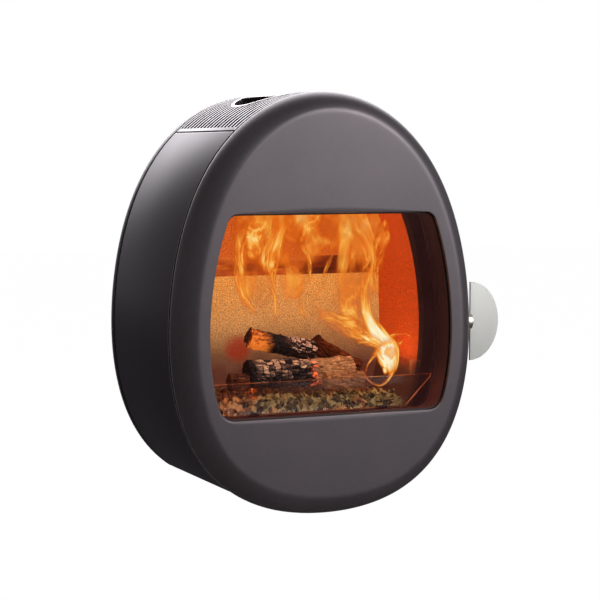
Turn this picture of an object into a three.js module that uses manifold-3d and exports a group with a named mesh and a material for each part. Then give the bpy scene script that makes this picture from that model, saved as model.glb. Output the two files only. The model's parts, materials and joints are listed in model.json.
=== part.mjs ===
// A wall-hung, egg-shaped wood stove with a glazed door, in millimetres.
// X runs to the right, Y from the front to the wall, Z up. The pieces are drawn about the
// centre line of the egg, with the door's front face at Y = 0, and the finished stove is then
// moved so that its origin is the middle of the wall bracket's back face.
import * as THREE from 'three';
import { mergeVertices } from 'three/addons/utils/BufferGeometryUtils.js';
import Module from 'manifold-3d';

const wasm = await Module();
wasm.setup();

const rad = THREE.MathUtils.degToRad;

// ---------------------------------------------------------------- driving dimensions
const FIT = 0.3; // gap between pieces that touch
const PAST = 1; // how far a cutting shape runs past what it cuts
// Sides of the turned pieces.
const ROUND = { knuckle: 24, shaft: 28, stem: 36, hole: 20, foot: 16, screw: 12, log: 14 };

// The egg: distances from its centre, and two terms that fill its shoulders and its crown.
const EGG_TOP = 410;
const EGG_BOTTOM = 245;
const EGG_SIDE = 251.2;
const EGG_SHOULDER = 18;
const EGG_CROWN = 2.1;
const EGG_STEP = rad(5);
const CHORD_SLACK = 0.4; // how far the flats of a curved wall stand inside its true curve
const UNDERSIDE = -202.6; // height of the casing's flat underside

// Depths, from the front to the wall.
const DOOR_DEPTH = 45;
const DOOR_WALL = 5;
const DOOR_ARC_STEPS = 7;
const SHADOW_GAP = 5.5;
const CASING_DEPTH = 255;
const CASING_SHEET = 2.5;
const REAR_GAP = 4.5;
const REAR_RIM = 14;
const REAR_SHEET = 2;
const BOTTOM_SHEET = 3;
const BOTTOM_EDGE = 6; // bottom plate's margin to the side panels
const SLEEVE_LAP = 9; // how far the rear sleeve reaches under the casing panels
const BRACKET_DEPTH = 12;

// The window in the door.
const WINDOW_TOP = 224.2;
const WINDOW_BOTTOM = -87.5;
const WINDOW_MARGIN = 48.5;
const WINDOW_TOP_RADIUS = 18;
const WINDOW_BOTTOM_RADIUS = 27;
const WINDOW_BEVEL = 1.5;
const CORNER_STEPS = 5;
const SIDE_STEPS = 10;

// Glass, its seals and the frame that holds it.
const GLASS = 4;
const GLASS_LAP = 9;
const GLASS_SEAL = 1;
const GLASS_SEAL_INNER = 2.5;
const GLASS_SEAL_OUTER = 6;
const FRAME_SHEET = 2;
const FRAME_BACK = 53; // depth of the door frame's rear face
const FRAME_STEP_OUT = 2.5; // how far the frame's inner wall stands outside the window
const FRAME_FLANGE = 22;
const SEAL_FLANGE = 10.5;
const SEAL_FLANGE_SHEET = 3;
const ROPE = 5.7;
const ROPE_INNER = 4;
const ROPE_OUTER = 9.5;
const BOSS_RADIUS = 6;
const BOSS_X = 120;
const BOSS_OUT = 15.5; // how far the screw bosses stand outside the window
const SCREW_RADIUS = 2;
const SCREW_HEAD = 4;
const SCREW_HEAD_HEIGHT = 3;
const SCREW_TIP_GAP = 2; // between the door plate and a screw's tip

// The body's front frame and the firebox inside the casing.
const FRONT_SHEET = 3;
const SHELL_INSET = 30;
const SHELL_SHEET = 4;
const SHELL_DEPTH = 227;
const BASE_THICKNESS = 16;
const LINING_INSET = 65;
const LINING_FRONT_TO_BACK = 159; // clear depth of the firebox
const BACK_LINING = 25;
const LINING_TOP = 236;
const SLOT_BAND_LOW = 116;
const SLOT_BAND_HIGH = 146;
const SLOT_BAND_SETBACK = 2;
const AIR_SLOT = { width: 44, height: 8, pitch: 84, count: 3 };
const DUCT_HALF_WIDTH = 60;
const DUCT_SHEET = 2;
const BAFFLE_THICKNESS = 22;
const BAFFLE_FRONT = 58; // smoke gap in front of the lower baffle
const DEFLECTOR_BELOW_CROWN = 110;
const DEFLECTOR_SHEET = 3;
const DEFLECTOR_DEPTH = 165;
const RAIL_HEIGHT = 12;
const RAIL_WIDTH = 15;
const RAIL_SETBACK = 10;

// The flue and the slotted top.
const SEAM_ANGLE = rad(22.5);
const SEAM_GAP = 3;
const FLUE_RADIUS = 75;
const FLUE_SHEET = 2.5;
const FLUE_BELOW_CROWN = 8; // from the egg's top to the collar's
const FLUE_DROP = 47; // the collar's height
const RIM_INNER = 86;
const RIM_OUTER = 91;
const RIM_PROUD = 0.8;
const GRILLE_SLOTS = 16;
const GRILLE_SLOT_WIDTH = 6;
const GRILLE_EDGE = 9;
const GRILLE_RIM_CLEARANCE = 5;

// Hinge on the left, latch and handle on the right.
const HINGE_FROM_SIDE = 18;
const HINGE_BEHIND_DOOR = 21;
const HINGE_SPREAD = 60; // each way from the egg's widest height
const HINGE_RADIUS = 6;
const PIN_RADIUS = 3;
const PIN_HEAD = 3;
const PIN_HEAD_RADIUS = 5;
const ARM_HALF_HEIGHT = 15;
const ARM_NECK = 16; // sideways reach of the goose neck before it turns forward
const ARM_SHEET = 5;
const ARM_REACH = 34; // to the arm's tip in front of the seal flange
const EAR = 4;
const HINGE_PLATE = 28;
const HANDLE_ABOVE_WIDEST = 7;
const STEM_RADIUS = 14;
const SPINDLE_RADIUS = 7;
const SPINDLE_START = 2; // from the bush's inner face
const STEM_OUT = 10;
const CAM_RADIUS = 11;
const CAM_OFFSET = 3;
const CAM_WIDTH = 8;
const CAM_CLEARANCE = 1.5;
const BUSH_CLEARANCE = 1; // to the front frame
const KEEPER_PRONG = 4;
// The keeper's block and prongs, from the cam's inner face, the shell's front or the front frame.
const KEEPER = { blockIn: 25, blockOut: 6, prongIn: 12, foot: 8, back: 36, front: 7 };
const GRIP_WIDTH = 52;
const GRIP_HEIGHT = 127;
const GRIP_SHEET = 4;
const GRIP_TAB = 8;
const GRIP_TAB_HEIGHT = 18;
const GRIP_STEPS = 28;

// Combustion air.
const FLOOR_HOLE = 18;
const FLOOR_HOLE_Y = 165;
const AIR_BOX_FRONT = 135;
const AIR_BOX_HALF_WIDTH = 52;
const SPIGOT_RADIUS = 35;
const SPIGOT_SHEET = 2.5;
const AIR_BOX_SETBACK = 5; // from the back of the firebox shell
const SLIDE_SHEET = 2;
const SLIDE_GAP = 1; // under the firebox floor
const SLIDE_TRAVEL = 36;
const LEVER_DROP = 14;
const LEVER_WIDTH = 10;
const LEVER_SHEET = 4;
const LEVER_STOP_GAP = 3; // to the air box with the valve shut
const LEVER_SLOT = { side: 2, end: 4 }; // the slot's margins round the lever
const KNOB_RADIUS = 9;
const KNOB_FLAT = rad(60); // where the knob's ball is cut off
const KNOB_STEPS = 8;
const RIM_STEPS = 30; // places tried round a log's end
const GRATE = { halfWidth: 70, front: 110, back: 190, thickness: 8, ledge: 8, bars: 7, slot: 10 };

// Glass log retainer, fuel and ash.
const RETAINER_TOP = -38;
const RETAINER_CLEARANCE = 1.5; // to the front frame at each upper corner
const RETAINER_TAPER = 46; // how much narrower each side is at the bottom
const RETAINER_NOSE = 4; // short upright edge at each upper corner
const RETAINER_GLASS = 4;
const RETAINER_Y = 56;
const WING_TOP = -18;
const WING_LENGTH = 88;
const CLIP_X = 110;
const CLIP_WIDTH = 16;
const CLIP_FOOT = 10; // how far a clip's foot reaches over the base lining
const CLIP_LIP = 5;
const ASH_HEIGHT = 30;
const ASH_SHOULDER = 0.92; // part of the width that lies level
const LOG = {
  front: { radius: 26, length: 183, x: -4, y: 125, tilt: 0 },
  rear: { radius: 18, length: 140, x: 8, y: 180, tilt: 0 },
  upper: { radius: 20, length: 118, x: -20, y: 162, tilt: 13 },
  right: { radius: 16, length: 66, x: 55, y: 83, tilt: 0 },
  left: { radius: 17, length: 32, x: -114, y: 112, tilt: 0 },
  leaning: { radius: 18, length: 95, y: 201, tilt: 31 },
};

// Wall bracket, rear shield and feet.
const BRACKET_Z = 80;
const BRACKET_HALF = 130;
const BRACKET_SHEET = 3;
const BRACKET_HOLE = { radius: 5, x: 100, z: 100 };
const HANGER = { halfWidth: 110, height: 25, sheet: 3, lower: -95, upper: 190 };
const SHIELD = { halfWidth: 150, bottom: -60, top: 170, sheet: 2, standoff: 10, boss: 6, bossInset: 20 };
const FOOT_RADIUS = 6;
const FOOT_HEIGHT = 5;
const FOOT_FROM_SIDE = 12;
const FOOT_FROM_EDGE = 12;

// ---------------------------------------------------------------- derived places
const CASING_FRONT = DOOR_DEPTH + SHADOW_GAP;
const CASING_BACK = CASING_FRONT + CASING_DEPTH;
const REAR_FRONT = CASING_BACK + REAR_GAP;
const REAR_BACK = REAR_FRONT + REAR_RIM;
const WALL = REAR_BACK + BRACKET_DEPTH;
const FLUE_Y = (CASING_FRONT + CASING_BACK) / 2;
const UNDERFRAME = UNDERSIDE + BOTTOM_SHEET + FIT;
const FLUE_TOP = EGG_TOP - FLUE_BELOW_CROWN;
const DEFLECTOR_HEIGHT = EGG_TOP - DEFLECTOR_BELOW_CROWN;
const FRONT_Y = FRAME_BACK + FIT + ROPE + FIT;
const FRONT_BACK = FRONT_Y + FRONT_SHEET;
const SHELL_FRONT = FRONT_BACK + FIT;
const SHELL_BACK = SHELL_FRONT + SHELL_DEPTH;
const SHELL_INNER = SHELL_INSET + SHELL_SHEET;
const BASE_TOP = WINDOW_BOTTOM - FRAME_STEP_OUT - FIT;
const FLOOR_TOP = BASE_TOP - BASE_THICKNESS - FIT;
const FLOOR_UNDER = FLOOR_TOP - SHELL_SHEET;
const BACK_Y = SHELL_FRONT + LINING_FRONT_TO_BACK;
const INSIDE_BACK = SHELL_BACK - SHELL_SHEET - FIT;
const DUCT_FRONT = BACK_Y + BACK_LINING + FIT;
const GLASS_FRONT = DOOR_WALL + FIT + GLASS_SEAL + FIT;
const FRAME_FRONT = GLASS_FRONT + GLASS + FIT;
const SPIGOT_Z = (UNDERFRAME + FLOOR_UNDER) / 2;
const SLIDE_LOW = FLOOR_UNDER - SLIDE_GAP - SLIDE_SHEET;
const AIR_BOX_TOP = SLIDE_LOW - FIT;
const AIR_BOX_BACK = SHELL_BACK - AIR_BOX_SETBACK;
const LEVER_Y = AIR_BOX_FRONT - SLIDE_TRAVEL - LEVER_STOP_GAP; // rear face of the lever, valve open
const ASH_FRONT = SHELL_FRONT + CLIP_FOOT + FIT;
const ASH_TOP = BASE_TOP + FIT + ASH_HEIGHT;

// ---------------------------------------------------------------- outlines, as (x, z) points
function eggRadius(psi) {
  const mean = (EGG_TOP + EGG_BOTTOM) / 4;
  const lean = (EGG_TOP - EGG_BOTTOM) / 2;
  return mean + EGG_SIDE / 2 - EGG_CROWN
    + (lean - EGG_SHOULDER - EGG_CROWN) * Math.cos(psi)
    + (mean - EGG_SIDE / 2) * Math.cos(2 * psi)
    + EGG_SHOULDER * Math.cos(3 * psi)
    + EGG_CROWN * (Math.cos(4 * psi) + Math.cos(5 * psi));
}

const onEgg = (psi) => new THREE.Vector2(Math.sin(psi), Math.cos(psi)).multiplyScalar(eggRadius(psi));

// Outward direction of the egg at an angle from its crown.
function eggNormal(psi) {
  const along = onEgg(psi + 1e-4).sub(onEgg(psi - 1e-4)).normalize();
  return new THREE.Vector2(-along.y, along.x);
}

const eggPoint = (psi, inset) => onEgg(psi).addScaledVector(eggNormal(psi), -inset);

// Angle at which the egg, drawn in by inset, has the height z.
function angleAt(z, inset) {
  let above = 0;
  let below = Math.PI;
  for (let i = 0; i < 40; i += 1) {
    const middle = (above + below) / 2;
    if (eggPoint(middle, inset).y > z) above = middle;
    else below = middle;
  }
  return (above + below) / 2;
}

const halfWidth = (z, inset) => eggPoint(angleAt(z, inset), inset).x;

// Height at which the egg is widest, where its outward direction lies level.
function widestHeight() {
  let above = 0;
  let below = Math.PI;
  for (let i = 0; i < 40; i += 1) {
    const middle = (above + below) / 2;
    if (eggNormal(middle).y > 0) above = middle;
    else below = middle;
  }
  return onEgg((above + below) / 2).y;
}

// Points along the egg, on a common grid of angles so that nested pieces stay parallel.
function eggArc(from, to, inset) {
  const points = [eggPoint(from, inset)];
  for (let k = Math.ceil(from / EGG_STEP + 0.1); k * EGG_STEP < to - 0.1 * EGG_STEP; k += 1) {
    points.push(eggPoint(k * EGG_STEP, inset));
  }
  points.push(eggPoint(to, inset));
  return points;
}

function eggLoop(inset) {
  return eggArc(-Math.PI, Math.PI, inset).slice(0, -1);
}

// The egg with its bottom cut flat at a height.
function flatEgg(inset, floor) {
  const end = angleAt(floor, inset);
  return eggArc(-end, end, inset);
}

// A strip between two insets, from one height down to another, on the right-hand side.
function sideStrip(outer, inner, top, bottom) {
  const outside = eggArc(angleAt(top, outer), angleAt(bottom, outer), outer);
  const inside = eggArc(angleAt(top, inner), angleAt(bottom, inner), inner);
  return [...outside, ...inside.reverse()];
}

// A band across the egg between two heights, clear of the flats of the walls beside it.
function crossBand(wall, bottom, top) {
  const inset = wall + FIT + CHORD_SLACK;
  const right = eggArc(angleAt(top, inset), angleAt(bottom, inset), inset);
  return [...right, ...mirrored(right).reverse()];
}

const mirrored = (points) => points.map((p) => new THREE.Vector2(-p.x, p.y));

// The window's outline, grown outwards; its sides follow the egg.
function windowLoop(grow) {
  const inset = WINDOW_MARGIN - grow;
  const topCentre = angleAt(WINDOW_TOP - WINDOW_TOP_RADIUS, WINDOW_MARGIN + WINDOW_TOP_RADIUS);
  const lowCentre = angleAt(WINDOW_BOTTOM + WINDOW_BOTTOM_RADIUS, WINDOW_MARGIN + WINDOW_BOTTOM_RADIUS);
  const corner = (psi, radius, from, to) => {
    const centre = eggPoint(psi, WINDOW_MARGIN + radius);
    return Array.from({ length: CORNER_STEPS + 1 }, (_, i) => {
      const angle = from + (to - from) * (i / CORNER_STEPS);
      const reach = radius + grow;
      return new THREE.Vector2(centre.x + reach * Math.cos(angle), centre.y + reach * Math.sin(angle));
    });
  };
  const lowTurn = eggNormal(lowCentre).angle() - 2 * Math.PI;
  const low = corner(lowCentre, WINDOW_BOTTOM_RADIUS, -Math.PI / 2, lowTurn);
  const high = corner(topCentre, WINDOW_TOP_RADIUS, eggNormal(topCentre).angle(), Math.PI / 2);
  const side = [];
  for (let i = 1; i < SIDE_STEPS; i += 1) {
    side.push(eggPoint(THREE.MathUtils.lerp(lowCentre, topCentre, i / SIDE_STEPS), inset));
  }
  const right = [...low, ...side, ...high];
  return [...right, ...mirrored(right).reverse()];
}

// ---------------------------------------------------------------- places on the outline
const HALF_SEAM = SEAM_GAP / 2 / eggRadius(SEAM_ANGLE);
const WIDEST = widestHeight();
const HINGE_HEIGHTS = { lower: WIDEST - HINGE_SPREAD, upper: WIDEST + HINGE_SPREAD };
const HANDLE_Z = WIDEST + HANDLE_ABOVE_WIDEST;
const SIDE_X = halfWidth(WIDEST, 0);
const HINGE_X = -(SIDE_X - HINGE_FROM_SIDE);
const HINGE_Y = DOOR_DEPTH + HINGE_BEHIND_DOOR;
const HANDLE_Y = (DOOR_DEPTH + CASING_FRONT) / 2;
const HANDLE_SIDE = halfWidth(HANDLE_Z, 0);
const CAM_X = HANDLE_SIDE - HINGE_FROM_SIDE;
const KEEPER_GAP = CAM_RADIUS + CAM_OFFSET + CAM_CLEARANCE;
const STEM_START = HANDLE_SIDE - CASING_SHEET + FIT;
const STEM_END = HANDLE_SIDE + STEM_OUT;
const BUSH_OUT = CAM_X - FIT;
const BUSH_IN = halfWidth(HANDLE_Z, WINDOW_MARGIN - SEAL_FLANGE) + FIT;

// ---------------------------------------------------------------- solids
function outward(geometry) {
  const position = geometry.attributes.position;
  const index = geometry.index ? geometry.index.array : [...Array(position.count).keys()];
  const [a, b, c] = [0, 1, 2].map(() => new THREE.Vector3());
  let volume = 0;
  for (let i = 0; i < index.length; i += 3) {
    a.fromBufferAttribute(position, index[i]);
    b.fromBufferAttribute(position, index[i + 1]);
    c.fromBufferAttribute(position, index[i + 2]);
    volume += a.dot(b.cross(c));
  }
  if (volume > 0) return geometry;
  const flipped = Array.from(index);
  for (let i = 0; i < flipped.length; i += 3) {
    [flipped[i + 1], flipped[i + 2]] = [flipped[i + 2], flipped[i + 1]];
  }
  geometry.setIndex(flipped);
  return geometry;
}

const bare = (geometry) => {
  geometry.deleteAttribute('normal');
  geometry.deleteAttribute('uv');
  return geometry;
};

// A flat outline with holes, given a thickness; every outline is turned anticlockwise first.
function extruded(outline, thickness, holes) {
  const anticlockwise = (points) => (THREE.ShapeUtils.isClockWise(points) ? [...points].reverse() : points);
  const shape = new THREE.Shape(anticlockwise(outline));
  shape.holes = holes.map((hole) => new THREE.Path(anticlockwise(hole)));
  return bare(new THREE.ExtrudeGeometry(shape, { depth: thickness, bevelEnabled: false, steps: 1 }));
}

// A plate with an (x, z) outline, from one depth to another.
const slab = (outline, front, back, holes = []) => outward(
  extruded(outline, back - front, holes).rotateX(Math.PI / 2).translate(0, back, 0),
);

// A plate with an outline of [x, y] pairs, from one height to another.
function tile(outline, low, high, holes = []) {
  const points = (pairs) => pairs.map(([x, y]) => new THREE.Vector2(x, y));
  return outward(extruded(points(outline), high - low, holes.map(points)).translate(0, 0, low));
}

const rectangle = (x0, x1, y0, y1) => [[x0, y0], [x1, y0], [x1, y1], [x0, y1]];

function block(x0, x1, y0, y1, z0, z1) {
  const geometry = new THREE.BoxGeometry(x1 - x0, y1 - y0, z1 - z0);
  return bare(geometry.translate((x0 + x1) / 2, (y0 + y1) / 2, (z0 + z1) / 2));
}

const TURN = {
  x: (geometry) => geometry.rotateZ(-Math.PI / 2),
  y: (geometry) => geometry,
  z: (geometry) => geometry.rotateX(Math.PI / 2),
};

// A turned piece: a closed profile of [radius, place along the axis] pairs.
function turned(axis, profile, centre, segments = 32) {
  const points = [...profile, profile[0]].map(([radius, along]) => new THREE.Vector2(radius, along));
  const lathe = TURN[axis](new THREE.LatheGeometry(points, segments));
  const geometry = mergeVertices(bare(lathe.translate(...centre)), 1e-4);
  const corners = geometry.index.array;
  const kept = [];
  for (let i = 0; i < corners.length; i += 3) {
    const [a, b, c] = corners.slice(i, i + 3);
    if (a !== b && b !== c && a !== c) kept.push(a, b, c);
  }
  geometry.setIndex(kept);
  return outward(geometry);
}

const disc = (axis, radius, from, to, centre, segments) => turned(
  axis,
  [[0, from], [radius, from], [radius, to], [0, to]],
  centre,
  segments,
);

const pipe = (axis, inner, outer, from, to, centre, segments) => turned(
  axis,
  [[inner, from], [outer, from], [outer, to], [inner, to]],
  centre,
  segments,
);

// A skin over rings of equal counts: either a closed loop of rings, or capped at both ends.
function skin(rings, looped) {
  const count = rings[0].length;
  const vertices = rings.flat().flatMap((p) => [p.x, p.y, p.z]);
  const index = [];
  const last = looped ? rings.length : rings.length - 1;
  for (let r = 0; r < last; r += 1) {
    const here = r * count;
    const next = ((r + 1) % rings.length) * count;
    for (let i = 0; i < count; i += 1) {
      const j = (i + 1) % count;
      index.push(here + i, here + j, next + j, here + i, next + j, next + i);
    }
  }
  if (!looped) {
    for (const [start, turn] of [[0, 1], [(rings.length - 1) * count, -1]]) {
      const ring = rings[start / count];
      const centre = ring.reduce((sum, p) => sum.add(p), new THREE.Vector3()).divideScalar(count);
      const hub = vertices.length / 3;
      vertices.push(centre.x, centre.y, centre.z);
      for (let i = 0; i < count; i += 1) {
        const pair = [start + i, start + ((i + 1) % count)];
        index.push(hub, ...(turn > 0 ? pair.reverse() : pair));
      }
    }
  }
  const geometry = new THREE.BufferGeometry();
  geometry.setAttribute('position', new THREE.Float32BufferAttribute(vertices, 3));
  geometry.setIndex(index);
  return outward(geometry);
}

const ringAt = (outline, y) => outline.map((p) => new THREE.Vector3(p.x, y, p.y));

// A section of [growth, depth] pairs carried round the window.
const roundWindow = (section) => skin(section.map(([grow, y]) => ringAt(windowLoop(grow), y)), true);

function toSolid(geometry) {
  const merged = mergeVertices(bare(geometry.clone()), 1e-4);
  return new wasm.Manifold(new wasm.Mesh({
    numProp: 3,
    vertProperties: new Float32Array(merged.attributes.position.array),
    triVerts: new Uint32Array(merged.index.array),
  }));
}

function toGeometry(solid) {
  const mesh = solid.getMesh();
  const geometry = new THREE.BufferGeometry();
  geometry.setAttribute('position', new THREE.BufferAttribute(new Float32Array(mesh.vertProperties), 3));
  geometry.setIndex([...mesh.triVerts]);
  return geometry;
}

const cut = (geometry, ...tools) => toGeometry(
  tools.reduce((solid, tool) => solid.subtract(toSolid(tool)), toSolid(geometry)),
);

const join = (first, ...others) => toGeometry(
  others.reduce((solid, other) => solid.add(toSolid(other)), toSolid(first)),
);

const common = (first, second) => toGeometry(toSolid(first).intersect(toSolid(second)));

// ---------------------------------------------------------------- materials
const finish = (color, roughness, metalness) => (
  new THREE.MeshStandardMaterial({ color, roughness, metalness })
);

const MATERIALS = {
  door: () => finish(0x4d484a, 0.55, 0.25),
  casing: () => finish(0x3a3739, 0.35, 0.45),
  black: () => finish(0x1b1a1b, 0.6, 0.3),
  rim: () => finish(0xc9c7c8, 0.35, 0.9),
  iron: () => finish(0x262220, 0.75, 0.4),
  steel: () => finish(0x8f8c88, 0.4, 0.9),
  grip: () => finish(0xd2d3cd, 0.35, 0.8),
  frame: () => finish(0x4a2119, 0.45, 0.2),
  vermiculite: () => finish(0xb07a4a, 0.9, 0),
  glowing: () => finish(0xc1541a, 0.9, 0),
  rope: () => finish(0x55504c, 0.95, 0),
  wood: () => finish(0x8d7563, 0.95, 0),
  ash: () => finish(0x6b6a55, 0.95, 0),
  glass: () => {
    const material = finish(0x6a3f2c, 0.08, 0);
    material.transparent = true;
    material.opacity = 0.25;
    return material;
  },
};

function put(group, name, geometry, kind) {
  const mesh = new THREE.Mesh(geometry, MATERIALS[kind]());
  mesh.name = name;
  group.add(mesh);
  return mesh;
}

// A group that turns or slides about a point, holding pieces drawn in the stove's own places.
function movingGroup(parent, x, y, z) {
  const pivot = new THREE.Group();
  pivot.position.set(x, y, z);
  const pieces = new THREE.Group();
  pieces.position.set(-x, -y, -z);
  pivot.add(pieces);
  parent.add(pivot);
  return pieces;
}

// ---------------------------------------------------------------- casing
// Room for a piece of the latch or of a hinge, cut through the front frame.
const hingeNotch = (z) => block(
  -SIDE_X - PAST, HINGE_X + ARM_NECK + ARM_SHEET + 2 * FIT,
  FRONT_Y - PAST, FRONT_BACK + PAST,
  z - ARM_HALF_HEIGHT - EAR - 2 * FIT, z + ARM_HALF_HEIGHT + EAR + PIN_HEAD + 4 * FIT,
);

const latchNotch = block(
  CAM_X - 2 * FIT - BUSH_CLEARANCE, SIDE_X + PAST,
  FRONT_Y - PAST, FRONT_BACK + PAST,
  HANDLE_Z - KEEPER_GAP - KEEPER_PRONG - 2 * FIT, HANDLE_Z + KEEPER_GAP + KEEPER_PRONG + 2 * FIT,
);

function sidePanel() {
  const top = SEAM_ANGLE + HALF_SEAM;
  const outside = eggArc(top, angleAt(UNDERSIDE, 0), 0);
  const inside = eggArc(top, angleAt(UNDERSIDE, CASING_SHEET), CASING_SHEET);
  return slab([...outside, ...inside.reverse()], CASING_FRONT, CASING_BACK);
}

// Room for the handle's stem, half in the door's edge and half in the side panel's.
const stemNotch = () => disc(
  'x', STEM_RADIUS + FIT, HANDLE_SIDE - 2 * DOOR_WALL, HANDLE_SIDE + PAST, [0, HANDLE_Y, HANDLE_Z],
);

function sidePanelRight() {
  return cut(sidePanel(), stemNotch());
}

function topGrille() {
  const reach = SEAM_ANGLE - HALF_SEAM;
  const outside = eggArc(-reach, reach, 0);
  const inside = eggArc(-reach, reach, CASING_SHEET);
  const plate = slab([...outside, ...inside.reverse()], CASING_FRONT, CASING_BACK);
  const slotEnd = eggPoint(SEAM_ANGLE, 0).x - GRILLE_EDGE;
  const pitch = (CASING_DEPTH - 2 * GRILLE_EDGE) / GRILLE_SLOTS;
  const keep = toSolid(disc('z', RIM_OUTER + GRILLE_RIM_CLEARANCE, 0, EGG_TOP * 2, [0, FLUE_Y, 0]));
  let solid = toSolid(plate);
  for (let i = 0; i < GRILLE_SLOTS; i += 1) {
    const y = CASING_FRONT + GRILLE_EDGE + pitch * (i + 0.5);
    const half = GRILLE_SLOT_WIDTH / 2;
    const slot = block(-slotEnd, slotEnd, y - half, y + half, 0, EGG_TOP + PAST);
    solid = solid.subtract(toSolid(slot).subtract(keep));
  }
  return toGeometry(solid.subtract(toSolid(disc('z', RIM_OUTER + FIT, 0, EGG_TOP * 2, [0, FLUE_Y, 0]))));
}

function flueRim() {
  const ring = pipe('z', RIM_INNER, RIM_OUTER, EGG_TOP / 2, EGG_TOP * 2, [0, FLUE_Y, 0]);
  const band = [
    ...eggArc(-SEAM_ANGLE, SEAM_ANGLE, -RIM_PROUD),
    ...eggArc(-SEAM_ANGLE, SEAM_ANGLE, CASING_SHEET).reverse(),
  ];
  return common(ring, slab(band, CASING_FRONT, CASING_BACK));
}

function rearCasing() {
  const rimInner = flatEgg(REAR_SHEET, UNDERSIDE + REAR_SHEET);
  const sleeveOuter = flatEgg(CASING_SHEET + FIT, UNDERFRAME);
  const sleeveInner = flatEgg(CASING_SHEET + FIT + REAR_SHEET, UNDERFRAME + REAR_SHEET);
  const plate = slab(flatEgg(0, UNDERSIDE), REAR_BACK - REAR_SHEET, REAR_BACK);
  const rim = slab(flatEgg(0, UNDERSIDE), REAR_FRONT, REAR_BACK - REAR_SHEET / 2, [rimInner]);
  const sleeve = slab(sleeveOuter, CASING_BACK - SLEEVE_LAP, REAR_BACK - REAR_SHEET / 2, [sleeveInner]);
  const airHole = disc('y', SPIGOT_RADIUS + FIT, REAR_BACK - 2 * REAR_SHEET, WALL, [0, 0, SPIGOT_Z]);
  return cut(join(plate, rim, sleeve), airHole);
}

function bottomPlate() {
  const half = halfWidth(UNDERSIDE + BOTTOM_SHEET, CASING_SHEET) - BOTTOM_EDGE;
  const slotHalf = LEVER_WIDTH / 2 + LEVER_SLOT.side;
  const slot = rectangle(
    -slotHalf, slotHalf, LEVER_Y - LEVER_SHEET - LEVER_SLOT.end, LEVER_Y + SLIDE_TRAVEL + LEVER_SLOT.end,
  );
  const plate = tile(
    rectangle(-half, half, CASING_FRONT, CASING_BACK),
    UNDERSIDE, UNDERSIDE + BOTTOM_SHEET,
    [slot],
  );
  const rows = [CASING_FRONT + FOOT_FROM_EDGE, CASING_BACK - FOOT_FROM_EDGE];
  const feet = [-1, 1].flatMap((side) => rows.map((y) => disc(
    'z', FOOT_RADIUS, UNDERSIDE - FOOT_HEIGHT, UNDERSIDE + BOTTOM_SHEET / 2,
    [side * (half - FOOT_FROM_SIDE), y, 0], ROUND.foot,
  )));
  return join(plate, ...feet);
}

function wallBracket() {
  const z0 = BRACKET_Z - BRACKET_HALF;
  const z1 = BRACKET_Z + BRACKET_HALF;
  const front = REAR_BACK + FIT;
  const plate = block(-BRACKET_HALF, BRACKET_HALF, WALL - BRACKET_SHEET, WALL, z0, z1);
  const flange = (x) => block(x, x + BRACKET_SHEET, front, WALL - BRACKET_SHEET / 2, z0, z1);
  const top = block(-BRACKET_HALF, BRACKET_HALF, front, WALL - BRACKET_SHEET / 2, z1 - BRACKET_SHEET, z1);
  const holes = [-1, 1].flatMap((sx) => [-1, 1].map((sz) => disc(
    'y', BRACKET_HOLE.radius, WALL - 2 * BRACKET_SHEET, WALL + PAST,
    [sx * BRACKET_HOLE.x, 0, BRACKET_Z + sz * BRACKET_HOLE.z], ROUND.hole,
  )));
  return cut(join(plate, flange(-BRACKET_HALF), flange(BRACKET_HALF - BRACKET_SHEET), top), ...holes);
}

// An open-bottomed channel between the firebox and the rear casing.
function hanger(z) {
  const front = SHELL_BACK + FIT;
  const back = REAR_BACK - REAR_SHEET - FIT;
  const { halfWidth: half, height, sheet } = HANGER;
  return cut(
    block(-half, half, front, back, z, z + height),
    block(-half + sheet, half - sheet, front + sheet, back - sheet, z - PAST, z + height - sheet),
  );
}

function rearShield() {
  const front = SHELL_BACK + FIT;
  const plateFront = front + SHIELD.standoff;
  const { halfWidth: half, bottom, top, sheet, boss, bossInset } = SHIELD;
  const plate = block(-half, half, plateFront, plateFront + sheet, bottom, top);
  const bosses = [-1, 1].flatMap((sx) => [bottom + bossInset, top - bossInset].map((z) => disc(
    'y', boss, front, plateFront + sheet / 2, [sx * (half - bossInset), 0, z], ROUND.foot,
  )));
  return join(plate, ...bosses);
}

// ---------------------------------------------------------------- firebox
function frontFrame() {
  const outline = flatEgg(CASING_SHEET + FIT, UNDERFRAME);
  const plate = slab(outline, FRONT_Y, FRONT_BACK, [windowLoop(FRAME_STEP_OUT)]);
  return cut(plate, ...Object.values(HINGE_HEIGHTS).map(hingeNotch), latchNotch);
}

function fireboxShell() {
  const outside = slab(flatEgg(SHELL_INSET, FLOOR_UNDER), SHELL_FRONT, SHELL_BACK);
  const inside = slab(flatEgg(SHELL_INNER, FLOOR_TOP), SHELL_FRONT - PAST, SHELL_BACK - SHELL_SHEET);
  const flue = disc('z', FLUE_RADIUS + FIT, EGG_TOP / 2, EGG_TOP, [0, FLUE_Y, 0]);
  const air = disc('z', FLOOR_HOLE, FLOOR_UNDER - PAST, FLOOR_TOP + PAST, [0, FLOOR_HOLE_Y, 0]);
  const shell = cut(outside, inside, flue, air, ductHole(FLOOR_UNDER - PAST, FLOOR_TOP + PAST));
  return join(shell, baffleRail(), outward(baffleRail().scale(-1, 1, 1)));
}

// The way from the air box up into the rear duct.
const ductHole = (low, high) => block(
  DUCT_SHEET - AIR_BOX_HALF_WIDTH, AIR_BOX_HALF_WIDTH - DUCT_SHEET,
  DUCT_FRONT + 2 * DUCT_SHEET, AIR_BOX_BACK - 2 * DUCT_SHEET, low, high,
);

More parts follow.
